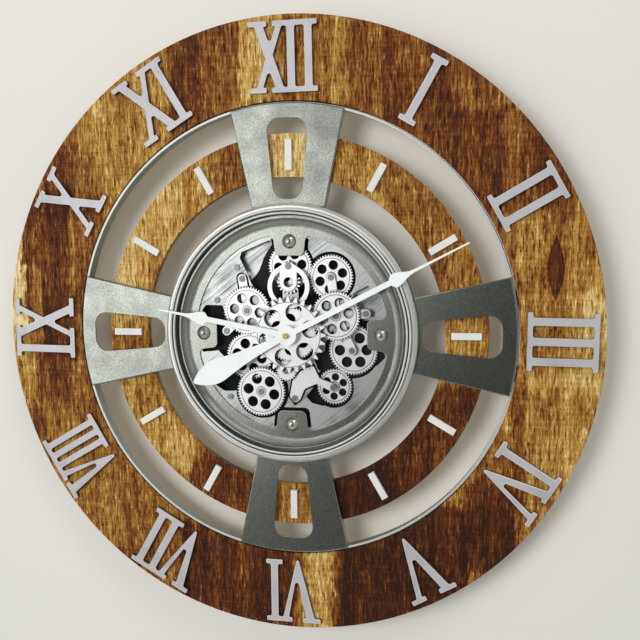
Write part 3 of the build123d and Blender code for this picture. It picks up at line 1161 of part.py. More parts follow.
DOOR_AXIS_RISE = DOOR_TOP - DOOR_AXIS_DROP
DOOR_EAR_RADIUS = 2 * DOOR_PIN_RADIUS
door_middle = (DOOR_TOP + DOOR_BOTTOM) / 2
door = slab(at((0, door_middle), Rectangle(DOOR_WIDTH, DOOR_TOP - DOOR_BOTTOM)), DOOR_RECESS, DOOR_THICKNESS)


def along_x(radius, length, middle):
    """A round bar along X on the door's axis."""
    return Pos(middle, -DOOR_AXIS_HEIGHT, DOOR_AXIS_RISE) * Rot(0, 90, 0) * Cylinder(radius, length)


for side in (-1, 1):
    ear = side * (DOOR_WIDTH - DOOR_EAR_WIDTH) / 2
    door += along_x(DOOR_EAR_RADIUS, DOOR_EAR_WIDTH, ear)
    door += along_x(DOOR_PIN_RADIUS, DOOR_PIN_LENGTH, side * (DOOR_WIDTH + DOOR_PIN_LENGTH) / 2)
keep("battery_door", door)

KEYHOLE = (0.0, HANGER_RISE)
keyhole_end = (0.0, HANGER_RISE + KEYHOLE_SLOT_LENGTH)
rear_cover = disc(CENTRE, DRUM_RADIUS, 0, REAR_COVER_THICKNESS)
DOOR_OPENING_TOP = DOOR_TOP + DOOR_SWING_GAP
DOOR_OPENING_BOTTOM = DOOR_BOTTOM - DOOR_GAP
door_opening = Rectangle(DOOR_WIDTH + 2 * DOOR_GAP, DOOR_OPENING_TOP - DOOR_OPENING_BOTTOM)
openings = at((0, (DOOR_OPENING_TOP + DOOR_OPENING_BOTTOM) / 2), door_opening)
openings += at(KNOB, Circle(KNOB_HOLE_RADIUS))
openings += link(KEYHOLE, keyhole_end, 2 * (KEYHOLE_RADIUS + KEYHOLE_ROOM))
rear_cover -= slab(openings, 0, REAR_COVER_THICKNESS)
HEAD_SEAT = REAR_HEAD_HEIGHT + DOOR_RECESS
for point in REAR_BOSSES:
    rear_cover -= disc(point, REAR_HEAD_RADIUS + LOOSE_CLEARANCE, 0, HEAD_SEAT)
    rear_cover -= disc(point, REAR_SCREW_RADIUS + RUNNING_CLEARANCE, 0, REAR_COVER_THICKNESS)
BEARING_DEPTH = DOOR_AXIS_HEIGHT + DOOR_EAR_RADIUS - REAR_COVER_THICKNESS
for side in (-1, 1):
    x = side * (DOOR_WIDTH / 2 + DOOR_GAP + DOOR_PIN_LENGTH / 2)
    block = at((x, DOOR_AXIS_RISE), Rectangle(DOOR_PIN_LENGTH, 2 * DOOR_EAR_RADIUS))
    rear_cover += slab(block, REAR_COVER_THICKNESS, BEARING_DEPTH)
    rear_cover -= along_x(DOOR_PIN_RADIUS + RUNNING_CLEARANCE, 2 * DOOR_PIN_LENGTH, x)
keep("rear_cover", rear_cover)

hanger = Rectangle(HANGER_WIDTH, HANGER_DEPTH)
hanger = at((0, HANGER_RISE), hanger) - at(KEYHOLE, Circle(KEYHOLE_RADIUS))
hanger -= link(KEYHOLE, keyhole_end, 2 * KEYHOLE_SLOT_RADIUS)
keep("hanger_plate", slab(hanger, REAR_COVER_THICKNESS, HANGER_SHEET))

rear_screws = []
for point in REAR_BOSSES:
    screw = disc(point, REAR_HEAD_RADIUS, HEAD_SEAT - REAR_HEAD_HEIGHT, REAR_HEAD_HEIGHT)
    rear_screws.append(screw + disc(point, REAR_SCREW_RADIUS, HEAD_SEAT, REAR_SCREW_LENGTH))
for side in (-1, 1):
    point = (side * HANGER_SCREW_SPREAD, HANGER_RISE)
    rear_screws.append(disc(point, REAR_HEAD_RADIUS, REAR_COVER_THICKNESS + HANGER_SHEET, REAR_HEAD_HEIGHT))
keep("rear_screws", Compound(children=rear_screws))
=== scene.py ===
import json
import math

import bmesh
import bpy
from mathutils import Matrix, Quaternion, Vector

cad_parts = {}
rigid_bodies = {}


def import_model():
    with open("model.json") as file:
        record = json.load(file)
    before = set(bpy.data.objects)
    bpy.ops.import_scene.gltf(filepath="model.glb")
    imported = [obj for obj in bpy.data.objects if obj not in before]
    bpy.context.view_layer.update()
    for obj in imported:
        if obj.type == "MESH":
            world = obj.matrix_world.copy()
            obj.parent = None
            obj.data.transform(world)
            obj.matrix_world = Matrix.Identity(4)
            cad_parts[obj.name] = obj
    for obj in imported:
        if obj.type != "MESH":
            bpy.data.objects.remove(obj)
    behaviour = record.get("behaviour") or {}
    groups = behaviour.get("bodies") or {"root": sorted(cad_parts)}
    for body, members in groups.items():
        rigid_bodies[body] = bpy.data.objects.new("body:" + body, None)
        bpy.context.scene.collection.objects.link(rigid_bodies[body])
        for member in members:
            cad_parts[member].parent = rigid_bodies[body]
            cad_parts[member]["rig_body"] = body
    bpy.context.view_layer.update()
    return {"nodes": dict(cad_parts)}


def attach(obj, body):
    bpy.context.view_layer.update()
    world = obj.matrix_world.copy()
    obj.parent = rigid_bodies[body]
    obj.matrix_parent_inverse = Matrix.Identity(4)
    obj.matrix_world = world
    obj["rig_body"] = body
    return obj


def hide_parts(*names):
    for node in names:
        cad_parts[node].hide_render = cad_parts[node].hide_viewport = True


bl_info = {
    "name": "Gear wall clock",
    "version": (1, 0, 0),
    "blender": (4, 5, 0),
    "location": "View3D > Sidebar > Clock",
    "description": "Dresses a wall clock with wooden rings and an open gear train",
    "category": "Object",
}

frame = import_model()
MM = 0.001

QUARTERS = ("top", "right", "bottom", "left")
HOURS = range(1, 13)
WHEELS = (
    "centre_wheel",
    "right_wheel",
    "left_wheel",
    "left_lower_wheel",
    "bottom_left_wheel",
    "upper_right_wheel",
    "top_wheel",
    "lower_right_wheel",
    "small_wheel",
    "idler_pinion",
    "guard_gear",
)
BRIDGES = ("left_bridge", "right_bridge", "bottom_bridge", "guard_ring")


def linear(code):
    """Scene-linear colour of an sRGB hex code."""
    channels = [int(code[i:i + 2], 16) / 255 for i in (1, 3, 5)]
    return tuple(c / 12.92 if c <= 0.04045 else ((c + 0.055) / 1.055) ** 2.4 for c in channels)


class ClockSizes(bpy.types.PropertyGroup):
    """Sizes of the soft edges, of the bezel's beads and of the gap to the wall."""

    ring_edge: bpy.props.FloatProperty(
        name="Ring edge",
        description="Rounding of the wooden rings' edges",
        default=0.6 * MM,
        unit="LENGTH",
    )
    numeral_edge: bpy.props.FloatProperty(
        name="Numeral edge",
        description="Rounding of the numerals' edges",
        default=0.8 * MM,
        unit="LENGTH",
    )
    sheet_edge: bpy.props.FloatProperty(
        name="Sheet edge",
        description="Rounding of pressed sheet and moulded edges",
        default=0.45 * MM,
        unit="LENGTH",
    )
    plate_edge: bpy.props.FloatProperty(
        name="Plate edge",
        description="Rounding of the cut plates' edges",
        default=0.3 * MM,
        unit="LENGTH",
    )
    hand_edge: bpy.props.FloatProperty(
        name="Hand edge",
        description="Rounding of the hands' edges",
        default=0.3 * MM,
        unit="LENGTH",
    )
    bead_radius: bpy.props.FloatProperty(
        name="Bead radius",
        description="Half width of the bezel's round beads",
        default=1.15 * MM,
        unit="LENGTH",
    )
    wall_gap: bpy.props.FloatProperty(
        name="Wall gap",
        description="Gap between the clock's back and the wall",
        default=0.5 * MM,
        unit="LENGTH",
    )


class ClockColours(bpy.types.PropertyGroup):
    """Colours of the main finishes and of the wall."""

    wood_burnt: bpy.props.FloatVectorProperty(
        name="Burnt wood",
        description="Darkest stain of the planks",
        default=linear("#2C160C"),
        subtype="COLOR",
    )
    wood_brown: bpy.props.FloatVectorProperty(
        name="Brown wood",
        description="Red-brown stain of the planks",
        default=linear("#643212"),
        subtype="COLOR",
    )
    wood_tan: bpy.props.FloatVectorProperty(
        name="Tan wood",
        description="Main colour of the planks",
        default=linear("#946325"),
        subtype="COLOR",
    )
    wood_gold: bpy.props.FloatVectorProperty(
        name="Gold wood",
        description="Golden bare planks",
        default=linear("#BD994C"),
        subtype="COLOR",
    )
    wood_pale: bpy.props.FloatVectorProperty(
        name="Pale wood",
        description="Palest worn planks",
        default=linear("#E4D3A2"),
        subtype="COLOR",
    )
    numeral: bpy.props.FloatVectorProperty(
        name="Numerals",
        description="Satin grey of the numerals",
        default=linear("#C3C1C4"),
        subtype="COLOR",
    )
    pewter: bpy.props.FloatVectorProperty(
        name="Pewter",
        description="Antique silver of the spokes and the cover plate",
        default=linear("#B2B6AE"),
        subtype="COLOR",
    )
    plating: bpy.props.FloatVectorProperty(
        name="Plating",
        description="Bright plating of the wheels",
        default=linear("#F4F5F5"),
        subtype="COLOR",
    )
    wall: bpy.props.FloatVectorProperty(
        name="Wall",
        description="Paint of the wall",
        default=linear("#E2E0DA"),
        subtype="COLOR",
    )


# Sockets of a Mix node that take its two colours, and the one that gives their mix
COLOUR_A = 6
COLOUR_B = 7
COLOUR_MIX = 2


def add_node(tree, kind, inputs=None, stops=(), **settings):
    """Add one node with its settings, colour stops, and linked or set inputs."""
    made = tree.nodes.new(kind)
    for key, value in settings.items():
        setattr(made, key, value)
    for place, _ in stops[2:]:
        made.color_ramp.elements.new(place)
    for element, (place, colour) in zip(made.color_ramp.elements if stops else (), stops):
        element.position = place
        element.color = (*colour, 1.0)
    for socket, value in (inputs or {}).items():
        if isinstance(value, bpy.types.Node):
            tree.links.new(value.outputs[0], made.inputs[socket])
        elif isinstance(value, bpy.types.NodeSocket):
            tree.links.new(value, made.inputs[socket])
        else:
            made.inputs[socket].default_value = value
    return made


def new_material(name):
    """An empty node material and its node tree."""
    made = bpy.data.materials.new(name)
    made.use_nodes = True
    made.node_tree.nodes.clear()
    return made, made.node_tree


def per_mm(*sizes):
    """Mapping scale at which one pattern cell has the given sizes in millimetres."""
    return tuple(1 / (size * MM) for size in sizes)


# Stained patches of the planks: middle x and z, half width and half height in millimetres, and tone shift
OUTER_STAINS = (
    (-26, 262, 22, 44, 0.26),
    (36, 264, 26, 44, 0.12),
    (-82, 256, 34, 48, -0.08),
    (-172, 200, 52, 66, 0.12),
    (-226, 148, 30, 34, -0.12),
    (-291, 52, 8, 62, 0.34),
    (-270, 20, 6, 46, 0.24),
    (-284, -34, 9, 44, 0.2),
    (-256, 56, 26, 84, -0.22),
    (-276, -64, 22, 50, -0.05),
    (-206, -150, 46, 70, 0.08),
    (-62, -246, 62, 54, -0.28),
    (23, -262, 16, 46, 0.26),
    (112, -236, 64, 72, -0.34),
    (192, -184, 26, 44, -0.22),
    (238, -92, 44, 60, 0.1),
    (222, -100, 7, 66, -0.16),
    (262, -6, 42, 46, 0.14),
    (292, 4, 12, 64, 0.14),
    (256, 86, 44, 52, 0.06),
    (204, 162, 48, 46, -0.16),
    (128, 240, 40, 52, -0.06),
)
INNER_STAINS = (
    (-140, 92, 60, 88, 0.24),
    (0, 172, 38, 30, 0.42),
    (-56, 164, 11, 34, -0.10),
    (-152, -84, 46, 60, 0.20),
    (-74, -164, 36, 36, -0.20),
    (0, -172, 34, 30, 0.12),
    (112, -128, 74, 84, -0.34),
    (168, 0, 32, 54, 0.06),
    (120, 122, 70, 62, 0.08),
)
# How far the sides of a patch wander, in millimetres
STAIN_WANDER = (22, 0, 40)
# Tone of the planks before the patches, and tone shifts of the finer marks; 0 is burnt wood, 1 is pale wood
OUTER_TONE = 0.43
INNER_TONE = 0.44
BAND_TONE = 0.2
FIBRE_TONE = 1.3
STREAK_TONE = 0.5
SAW_TONE = 0.24
PIT_TONE = -0.3
FLECK_TONE = 0.22
# Keeps the pits clear of the fibres' pattern
PIT_OFFSET = (7.0, 3.0, 11.0)
# Middle x and z of the knot, its half width and half height in millimetres, and its tone shifts
KNOT_MIDDLE = (252.8, 64.0)
KNOT_HALF = (8.2, 31.0)
KNOT_TAPER = 1.6
KNOT_TONE = -0.36
KNOT_CORE_TONE = 0.14


def patch_reach(tree, place, middle, half):
    """Distance from a patch's middle across and along the grain, in half widths and half heights."""
    local = add_node(
        tree, "ShaderNodeMapping",
        {
            "Vector": place,
            "Scale": (1 / (half[0] * MM), 0.0, 1 / (half[1] * MM)),
            "Location": (-middle[0] / half[0], 0.0, -middle[1] / half[1]),
        },
    )
    reach = add_node(tree, "ShaderNodeVectorMath", {0: local}, operation="ABSOLUTE")
    sides = add_node(tree, "ShaderNodeSeparateXYZ", {0: reach}).outputs
    return sides["X"], sides["Z"]


def stained_planks(name, base_tone, stains, knotted):
    """Rough-sawn softwood planks under uneven stain, grain upright: patches from straw to burnt brown
    with straight sides, short dark pits and pale flecks along the grain, faint saw marks across it.
    Fibres and pits are drawn several times as coarse as real ones, so that they show."""
    colours = bpy.context.scene.clock_colours
    made, tree = new_material(name)
    place = add_node(tree, "ShaderNodeTexCoord").outputs["Object"]

    ragged_place = add_node(tree, "ShaderNodeMapping", {"Vector": place, "Scale": per_mm(5, 20, 20)})
    ragged = add_node(tree, "ShaderNodeTexNoise", {"Vector": ragged_place, "Scale": 1.0, "Detail": 4.0})
    wander = [reach * MM for reach in STAIN_WANDER]
    shift = add_node(
        tree, "ShaderNodeVectorMath",
        {0: ragged.outputs["Color"], 1: wander, 2: [-reach / 2 for reach in wander]},
        operation="MULTIPLY_ADD",
    )
    wavy = add_node(tree, "ShaderNodeVectorMath", {0: place, 1: shift}, operation="ADD")

    band_place = add_node(tree, "ShaderNodeMapping", {"Vector": place, "Scale": per_mm(26, 80, 190)})
    bands = add_node(
        tree, "ShaderNodeTexNoise", {"Vector": band_place, "Scale": 1.0, "Detail": 3.0, "Distortion": 0.5}
    )
    tone = add_node(
        tree, "ShaderNodeMapRange",
        {
            "Value": bands,
            "From Min": 0.25,
            "From Max": 0.75,
            "To Min": base_tone - BAND_TONE,
            "To Max": base_tone + BAND_TONE,
        },
    )
    for x, z, half_width, half_height, step in stains:
        across, along = patch_reach(tree, wavy, (x, z), (half_width, half_height))
        edge = add_node(tree, "ShaderNodeMath", {0: across, 1: along}, operation="MAXIMUM")
        inside = add_node(
            tree, "ShaderNodeMapRange", {"Value": edge, "From Min": 1.08, "From Max": 0.9},
            interpolation_type="SMOOTHSTEP",
        )
        tone = add_node(tree, "ShaderNodeMath", {0: inside, 1: step, 2: tone}, operation="MULTIPLY_ADD")
    if knotted:
        across, along = patch_reach(tree, place, KNOT_MIDDLE, KNOT_HALF)
        leaf = add_node(tree, "ShaderNodeMath", {0: along, 1: KNOT_TAPER}, operation="POWER")
        width = add_node(tree, "ShaderNodeMath", {0: leaf, 1: across}, operation="ADD")
        knot = add_node(tree, "ShaderNodeMapRange", {"Value": width, "From Min": 1.0, "From Max": 0.92})
        core = add_node(tree, "ShaderNodeMapRange", {"Value": width, "From Min": 0.88, "From Max": 0.72})
        for area, step in ((knot, KNOT_TONE), (core, KNOT_CORE_TONE)):
            tone = add_node(tree, "ShaderNodeMath", {0: area, 1: step, 2: tone}, operation="MULTIPLY_ADD")

    fibre_place = add_node(tree, "ShaderNodeMapping", {"Vector": place, "Scale": per_mm(1.3, 4, 10)})
    fibres = add_node(
        tree, "ShaderNodeTexNoise", {"Vector": fibre_place, "Scale": 1.0, "Detail": 5.0, "Roughness": 0.7}
    )
    streak_place = add_node(tree, "ShaderNodeMapping", {"Vector": place, "Scale": per_mm(3.6, 12, 48)})
    streaks = add_node(tree, "ShaderNodeTexNoise", {"Vector": streak_place, "Scale": 1.0, "Detail": 2.0})
    saw_place = add_node(tree, "ShaderNodeMapping", {"Vector": place, "Scale": per_mm(30, 60, 2.4)})
    saw_marks = add_node(tree, "ShaderNodeTexNoise", {"Vector": saw_place, "Scale": 1.0, "Detail": 1.0})
    for pattern, step in ((fibres, FIBRE_TONE), (streaks, STREAK_TONE), (saw_marks, SAW_TONE)):
        centred = add_node(tree, "ShaderNodeMath", {0: pattern, 1: 0.5}, operation="SUBTRACT")
        tone = add_node(tree, "ShaderNodeMath", {0: centred, 1: step, 2: tone}, operation="MULTIPLY_ADD")
    pit_place = add_node(
        tree, "ShaderNodeMapping", {"Vector": place, "Scale": per_mm(1.7, 5, 9), "Location": PIT_OFFSET}
    )
    pits = add_node(tree, "ShaderNodeTexNoise", {"Vector": pit_place, "Scale": 1.0, "Detail": 2.0})
    dark_pits = add_node(tree, "ShaderNodeMapRange", {"Value": pits, "From Min": 0.6, "From Max": 0.67})
    pale_flecks = add_node(tree, "ShaderNodeMapRange", {"Value": pits, "From Min": 0.38, "From Max": 0.31})
    for marks, step in ((dark_pits, PIT_TONE), (pale_flecks, FLECK_TONE)):
        tone = add_node(tree, "ShaderNodeMath", {0: marks, 1: step, 2: tone}, operation="MULTIPLY_ADD")

    colour = add_node(
        tree, "ShaderNodeValToRGB", {"Fac": tone},
        stops=(
            (0.0, colours.wood_burnt),
            (0.3, colours.wood_brown),
            (0.52, colours.wood_tan),
            (0.75, colours.wood_gold),
            (1.0, colours.wood_pale),
        ),
    )
    rough = add_node(
        tree, "ShaderNodeMapRange",
        {"Value": fibres, "From Min": 0.3, "From Max": 0.7, "To Min": 0.68, "To Max": 0.5},
    )
    bump = add_node(tree, "ShaderNodeBump", {"Strength": 0.4, "Distance": 0.35 * MM, "Height": fibres})
    shader = add_node(
        tree, "ShaderNodeBsdfPrincipled",
        {"Base Color": colour, "Roughness": rough, "Normal": bump, "Specular IOR Level": 0.18},
    )
    add_node(tree, "ShaderNodeOutputMaterial", {"Surface": shader})
    return made


def outer_planks():
    """The outer ring's planks, darker towards the foot, with one leaf-shaped knot."""
    return stained_planks("stained_softwood_outer", OUTER_TONE, OUTER_STAINS, knotted=True)


def inner_planks():
    """The inner ring's planks, paler on the left."""
    return stained_planks("stained_softwood_inner", INNER_TONE, INNER_STAINS, knotted=False)


# Share of a metal's colour that is left where the painted shade in its recesses is darkest
RECESS_SHADE_SHARE = 0.05
# How far the slow clouds of a metal and the speckle of a lacquer shift the roughness either way
METAL_GLOSS_SHIFT = 0.02
LACQUER_GLOSS_SHIFT = 0.06


def recess_shaded_colour(tree, surface, shade_colour, recess_mm, open_range, least_unshaded, samples=16):
    """The surface's colour with painted shade darkening its recesses and the places near other parts.
    The unshaded share grows from its least in a deep recess to all of it where the surface lies open."""
    recess = add_node(tree, "ShaderNodeAmbientOcclusion", {"Distance": recess_mm * MM}, samples=samples)
    clean = add_node(
        tree, "ShaderNodeMapRange",
        {
            "Value": recess.outputs["AO"],
            "From Min": open_range[0],
            "From Max": open_range[1],
            "To Min": least_unshaded,
            "To Max": 1.0,
        },
    )
    colours = {0: clean, COLOUR_A: (*shade_colour, 1.0), COLOUR_B: surface}
    return add_node(tree, "ShaderNodeMix", colours, data_type="RGBA").outputs[COLOUR_MIX]


def speckled_metal(name, colour, roughness, speckle_mm, cloud_mm, variation,
                   metallic=1.0, recess_shade=0.4, relief=0.05, recess_mm=1.6):
    """Metal with fine speckles, slow clouds of tone and gloss, and painted shade darkening its recesses."""
    made, tree = new_material(name)
    place = add_node(tree, "ShaderNodeTexCoord").outputs["Object"]
    speckle_scale = per_mm(*[speckle_mm] * 3)
    speckle_place = add_node(tree, "ShaderNodeMapping", {"Vector": place, "Scale": speckle_scale})
    speckle = add_node(
        tree, "ShaderNodeTexNoise", {"Vector": speckle_place, "Scale": 1.0, "Detail": 3.0, "Roughness": 0.6}
    )
    cloud_scale = per_mm(*[cloud_mm] * 3)
    cloud_place = add_node(tree, "ShaderNodeMapping", {"Vector": place, "Scale": cloud_scale})
    clouds = add_node(tree, "ShaderNodeTexNoise", {"Vector": cloud_place, "Scale": 1.0, "Detail": 3.0})
    both = add_node(tree, "ShaderNodeMath", {0: clouds, 1: 0.45, 2: speckle}, operation="MULTIPLY_ADD")
    tone = add_node(tree, "ShaderNodeMapRange", {"Value": both, "From Min": 0.55, "From Max": 0.9})
    dark = [channel * (1 - variation) for channel in colour]
    mixed = add_node(
        tree, "ShaderNodeMix", {0: tone, COLOUR_A: (*dark, 1.0), COLOUR_B: (*colour, 1.0)}, data_type="RGBA"
    )
    # Painted shade: the recesses darken towards a near-black copy of the colour
    shade_colour = [channel * RECESS_SHADE_SHARE for channel in colour]
    shaded = recess_shaded_colour(
        tree, mixed.outputs[COLOUR_MIX], shade_colour, recess_mm,
        open_range=(0.35, 0.85), least_unshaded=1 - recess_shade,
    )
    rough = add_node(
        tree, "ShaderNodeMapRange",
        {
            "Value": clouds,
            "From Min": 0.3,
            "From Max": 0.7,
            "To Min": roughness + METAL_GLOSS_SHIFT,
            "To Max": roughness - METAL_GLOSS_SHIFT,
        },
    )
    bump = add_node(tree, "ShaderNodeBump", {"Strength": relief, "Distance": 0.06 * MM, "Height": speckle})
    shader = add_node(
        tree, "ShaderNodeBsdfPrincipled",
        {"Base Color": shaded, "Metallic": metallic, "Roughness": rough, "Normal": bump},
    )
    add_node(tree, "ShaderNodeOutputMaterial", {"Surface": shader})
    return made


def antique_pewter():
    """Antique silver on pressed steel: a dull metal with fine dark speckle and slow clouds."""
    return speckled_metal(
        "antique_silvered_steel", bpy.context.scene.clock_colours.pewter,
        roughness=0.28, speckle_mm=0.9, cloud_mm=20, variation=0.5, relief=0.12,
    )


def highlit_pewter_edge():
    """Edges of the silvered and plated sheet, painted lighter than the faces as a highlight."""
    return speckled_metal(
        "highlit_silver_edge", linear("#E4E6E0"),
        roughness=0.3, speckle_mm=3.0, cloud_mm=20, variation=0.3, recess_shade=0.0, relief=0.0,
    )


def bright_plating():
    """Bright zinc plating on wheels and bridges: pale, half glossy, strong painted shade in recesses."""
    return speckled_metal(
        "bright_zinc_plating", bpy.context.scene.clock_colours.plating,
        roughness=0.3, speckle_mm=2.2, cloud_mm=16, variation=0.08,
        metallic=0.6, recess_shade=0.85, relief=0.0, recess_mm=5.0,
    )


def bead_steel():
    """Satin-polished steel of the bezel: bright round beads with soft highlights."""
    return speckled_metal(
        "satin_polished_steel", linear("#EEF0EC"),
        roughness=0.36, speckle_mm=3.0, cloud_mm=30, variation=0.05, metallic=0.8, relief=0.0,
    )


def shaded_flank():
    """Painted shade in dark steel grey: flanks of cut parts, the wheels' grooves, beside the bezel's beads.
    """
    return speckled_metal(
        "shaded_flank_steel", linear("#4E5150"),
        roughness=0.36, speckle_mm=1.2, cloud_mm=10, variation=0.3, metallic=0.7, recess_shade=0.5,
    )


def polished_steel():
    """Polished steel of the screws at the back, the hanger and the motor: clear highlights."""
    return speckled_metal(
        "polished_steel", linear("#CDD0CB"),
        roughness=0.27, speckle_mm=3.0, cloud_mm=30, variation=0.12, recess_shade=0.7, relief=0.0,
    )


def satin_zinc():
    """Satin zinc on the hoop and its straps: pale, soft highlights."""
    return speckled_metal(
        "satin_zinc_plating", linear("#D4D7D2"),
        roughness=0.36, speckle_mm=1.4, cloud_mm=40, variation=0.12, metallic=0.4, recess_shade=0.3,
    )


def shaded_hoop_wall():
    """The hoop's inner and outer walls: steel painted darker than its bright rim, as shade."""
    return speckled_metal(
        "shaded_rolled_steel", linear("#83877F"),
        roughness=0.4, speckle_mm=1.6, cloud_mm=40, variation=0.2, metallic=0.7,
    )


def dark_steel():
    """Oiled steel of the studs, pillars and screws among the wheels: mid grey, softly glossy."""
    return speckled_metal(
        "oiled_steel", linear("#8D9292"),
        roughness=0.3, speckle_mm=1.6, cloud_mm=12, variation=0.25, metallic=0.8, recess_shade=0.5,
    )


def dome_nickel():
    """Aged nickel of the domed screws, faintly warm."""
    return speckled_metal(
        "aged_nickel", linear("#D2D0C4"), roughness=0.28, speckle_mm=1.2, cloud_mm=8, variation=0.2
    )


def turned_brass():
    """Turned brass of the motor pinion and the nuts, warm yellow and fairly glossy."""
    return speckled_metal(
        "turned_brass", linear("#D2AE66"), roughness=0.28, speckle_mm=1.5, cloud_mm=8, variation=0.15
    )


SPUN_RING_MM = 0.9
SPUN_RECESS_MM = 6.0
SPUN_VARIATION = 0.35


def spun_silver(name, roughness):
    """Antique silver spun on a lathe: fine rings about the clock's axis, drawn about four times as
    wide as real ones so that they show, with painted shade darkening the corners."""
    colour = bpy.context.scene.clock_colours.pewter
    made, tree = new_material(name)
    place = add_node(tree, "ShaderNodeTexCoord").outputs["Object"]
    flat = add_node(tree, "ShaderNodeVectorMath", {0: place, 1: (1.0, 0.0, 1.0)}, operation="MULTIPLY")
    radius = add_node(tree, "ShaderNodeVectorMath", {0: flat}, operation="LENGTH").outputs["Value"]
    ring = add_node(tree, "ShaderNodeMath", {0: radius, 1: 1 / (SPUN_RING_MM * MM)}, operation="MULTIPLY")
    rings = add_node(
        tree, "ShaderNodeTexNoise", {"W": ring, "Scale": 1.0, "Detail": 2.0}, noise_dimensions="1D"
    )
    speckle_place = add_node(tree, "ShaderNodeMapping", {"Vector": place, "Scale": per_mm(1.4, 1.4, 1.4)})
    speckle = add_node(tree, "ShaderNodeTexNoise", {"Vector": speckle_place, "Scale": 1.0, "Detail": 3.0})
    cloud_place = add_node(tree, "ShaderNodeMapping", {"Vector": place, "Scale": per_mm(46, 46, 46)})
    clouds = add_node(tree, "ShaderNodeTexNoise", {"Vector": cloud_place, "Scale": 1.0, "Detail": 2.0})
    both = add_node(tree, "ShaderNodeMath", {0: clouds, 1: 0.5, 2: speckle}, operation="MULTIPLY_ADD")
    total = add_node(tree, "ShaderNodeMath", {0: rings, 1: 0.5, 2: both}, operation="MULTIPLY_ADD")
    tone = add_node(tree, "ShaderNodeMapRange", {"Value": total, "From Min": 0.7, "From Max": 1.2})
    dark = [channel * (1 - SPUN_VARIATION) for channel in colour]
    mixed = add_node(
        tree, "ShaderNodeMix", {0: tone, COLOUR_A: (*dark, 1.0), COLOUR_B: (*colour, 1.0)}, data_type="RGBA"
    )
    # Painted shade darkens the plate within a few millimetres of the bezel and the screws
    shade_colour = [channel * RECESS_SHADE_SHARE for channel in colour]
    shaded = recess_shaded_colour(
        tree, mixed.outputs[COLOUR_MIX], shade_colour, SPUN_RECESS_MM,
        open_range=(0.3, 0.8), least_unshaded=0.35, samples=8,
    )
    rough = add_node(
        tree, "ShaderNodeMapRange",
        {
            "Value": clouds,
            "From Min": 0.3,
            "From Max": 0.7,
            "To Min": roughness + METAL_GLOSS_SHIFT,
            "To Max": roughness - METAL_GLOSS_SHIFT,
        },
    )
    bump = add_node(tree, "ShaderNodeBump", {"Strength": 0.2, "Distance": 0.05 * MM, "Height": rings})
    shader = add_node(
        tree, "ShaderNodeBsdfPrincipled",
        {"Base Color": shaded, "Metallic": 1.0, "Roughness": rough, "Normal": bump},
    )
    add_node(tree, "ShaderNodeOutputMaterial", {"Surface": shader})
    return made


def spun_cover():
    """The cover plate's flats, which mirror the room softly."""
    return spun_silver("spun_antique_silver", roughness=0.26)


def spun_dish():
    """The cover plate's slopes, left dull by the spinning tool."""
    return spun_silver("dull_spun_silver", roughness=0.46)


SCRATCH_ANGLE = math.radians(38)
SHEET_RECESS_MM = 7.0


def brushed_sheet():
    """Bright brushed steel of the plates under the wheels: fine slanting scratches, drawn about
    four times as wide as real ones so that they show."""
    made, tree = new_material("brushed_bright_steel")
    place = add_node(tree, "ShaderNodeTexCoord").outputs["Object"]
    turned = add_node(tree, "ShaderNodeMapping", {"Vector": place, "Rotation": (0.0, SCRATCH_ANGLE, 0.0)})
    scratch_place = add_node(tree, "ShaderNodeMapping", {"Vector": turned, "Scale": per_mm(46, 20, 1.1)})
    scratches = add_node(
        tree, "ShaderNodeTexNoise",
        {"Vector": scratch_place, "Scale": 1.0, "Detail": 3.0, "Distortion": 0.3},
    )
    cloud_place = add_node(tree, "ShaderNodeMapping", {"Vector": place, "Scale": per_mm(24, 24, 24)})
    clouds = add_node(tree, "ShaderNodeTexNoise", {"Vector": cloud_place, "Scale": 1.0, "Detail": 2.0})
    both = add_node(tree, "ShaderNodeMath", {0: scratches, 1: clouds}, operation="ADD")
    tone = add_node(
        tree, "ShaderNodeValToRGB", {"Fac": both},
        stops=((0.72, linear("#8E9390")), (1.0, linear("#D5D9D6"))),
    )
    # Painted shade darkens the sheet nearly to black near the wheels and bridges over it
    shaded = recess_shaded_colour(
        tree, tone, linear("#1B1C1B"), SHEET_RECESS_MM, open_range=(0.3, 0.75), least_unshaded=0.25
    )
    rough = add_node(
        tree, "ShaderNodeMapRange",
        {"Value": scratches, "From Min": 0.3, "From Max": 0.7, "To Min": 0.44, "To Max": 0.28},
    )
    bump = add_node(tree, "ShaderNodeBump", {"Strength": 0.18, "Distance": 0.05 * MM, "Height": scratches})
    shader = add_node(
        tree, "ShaderNodeBsdfPrincipled",
        {"Base Color": shaded, "Metallic": 1.0, "Roughness": rough, "Normal": bump},
    )
    add_node(tree, "ShaderNodeOutputMaterial", {"Surface": shader})
    return made


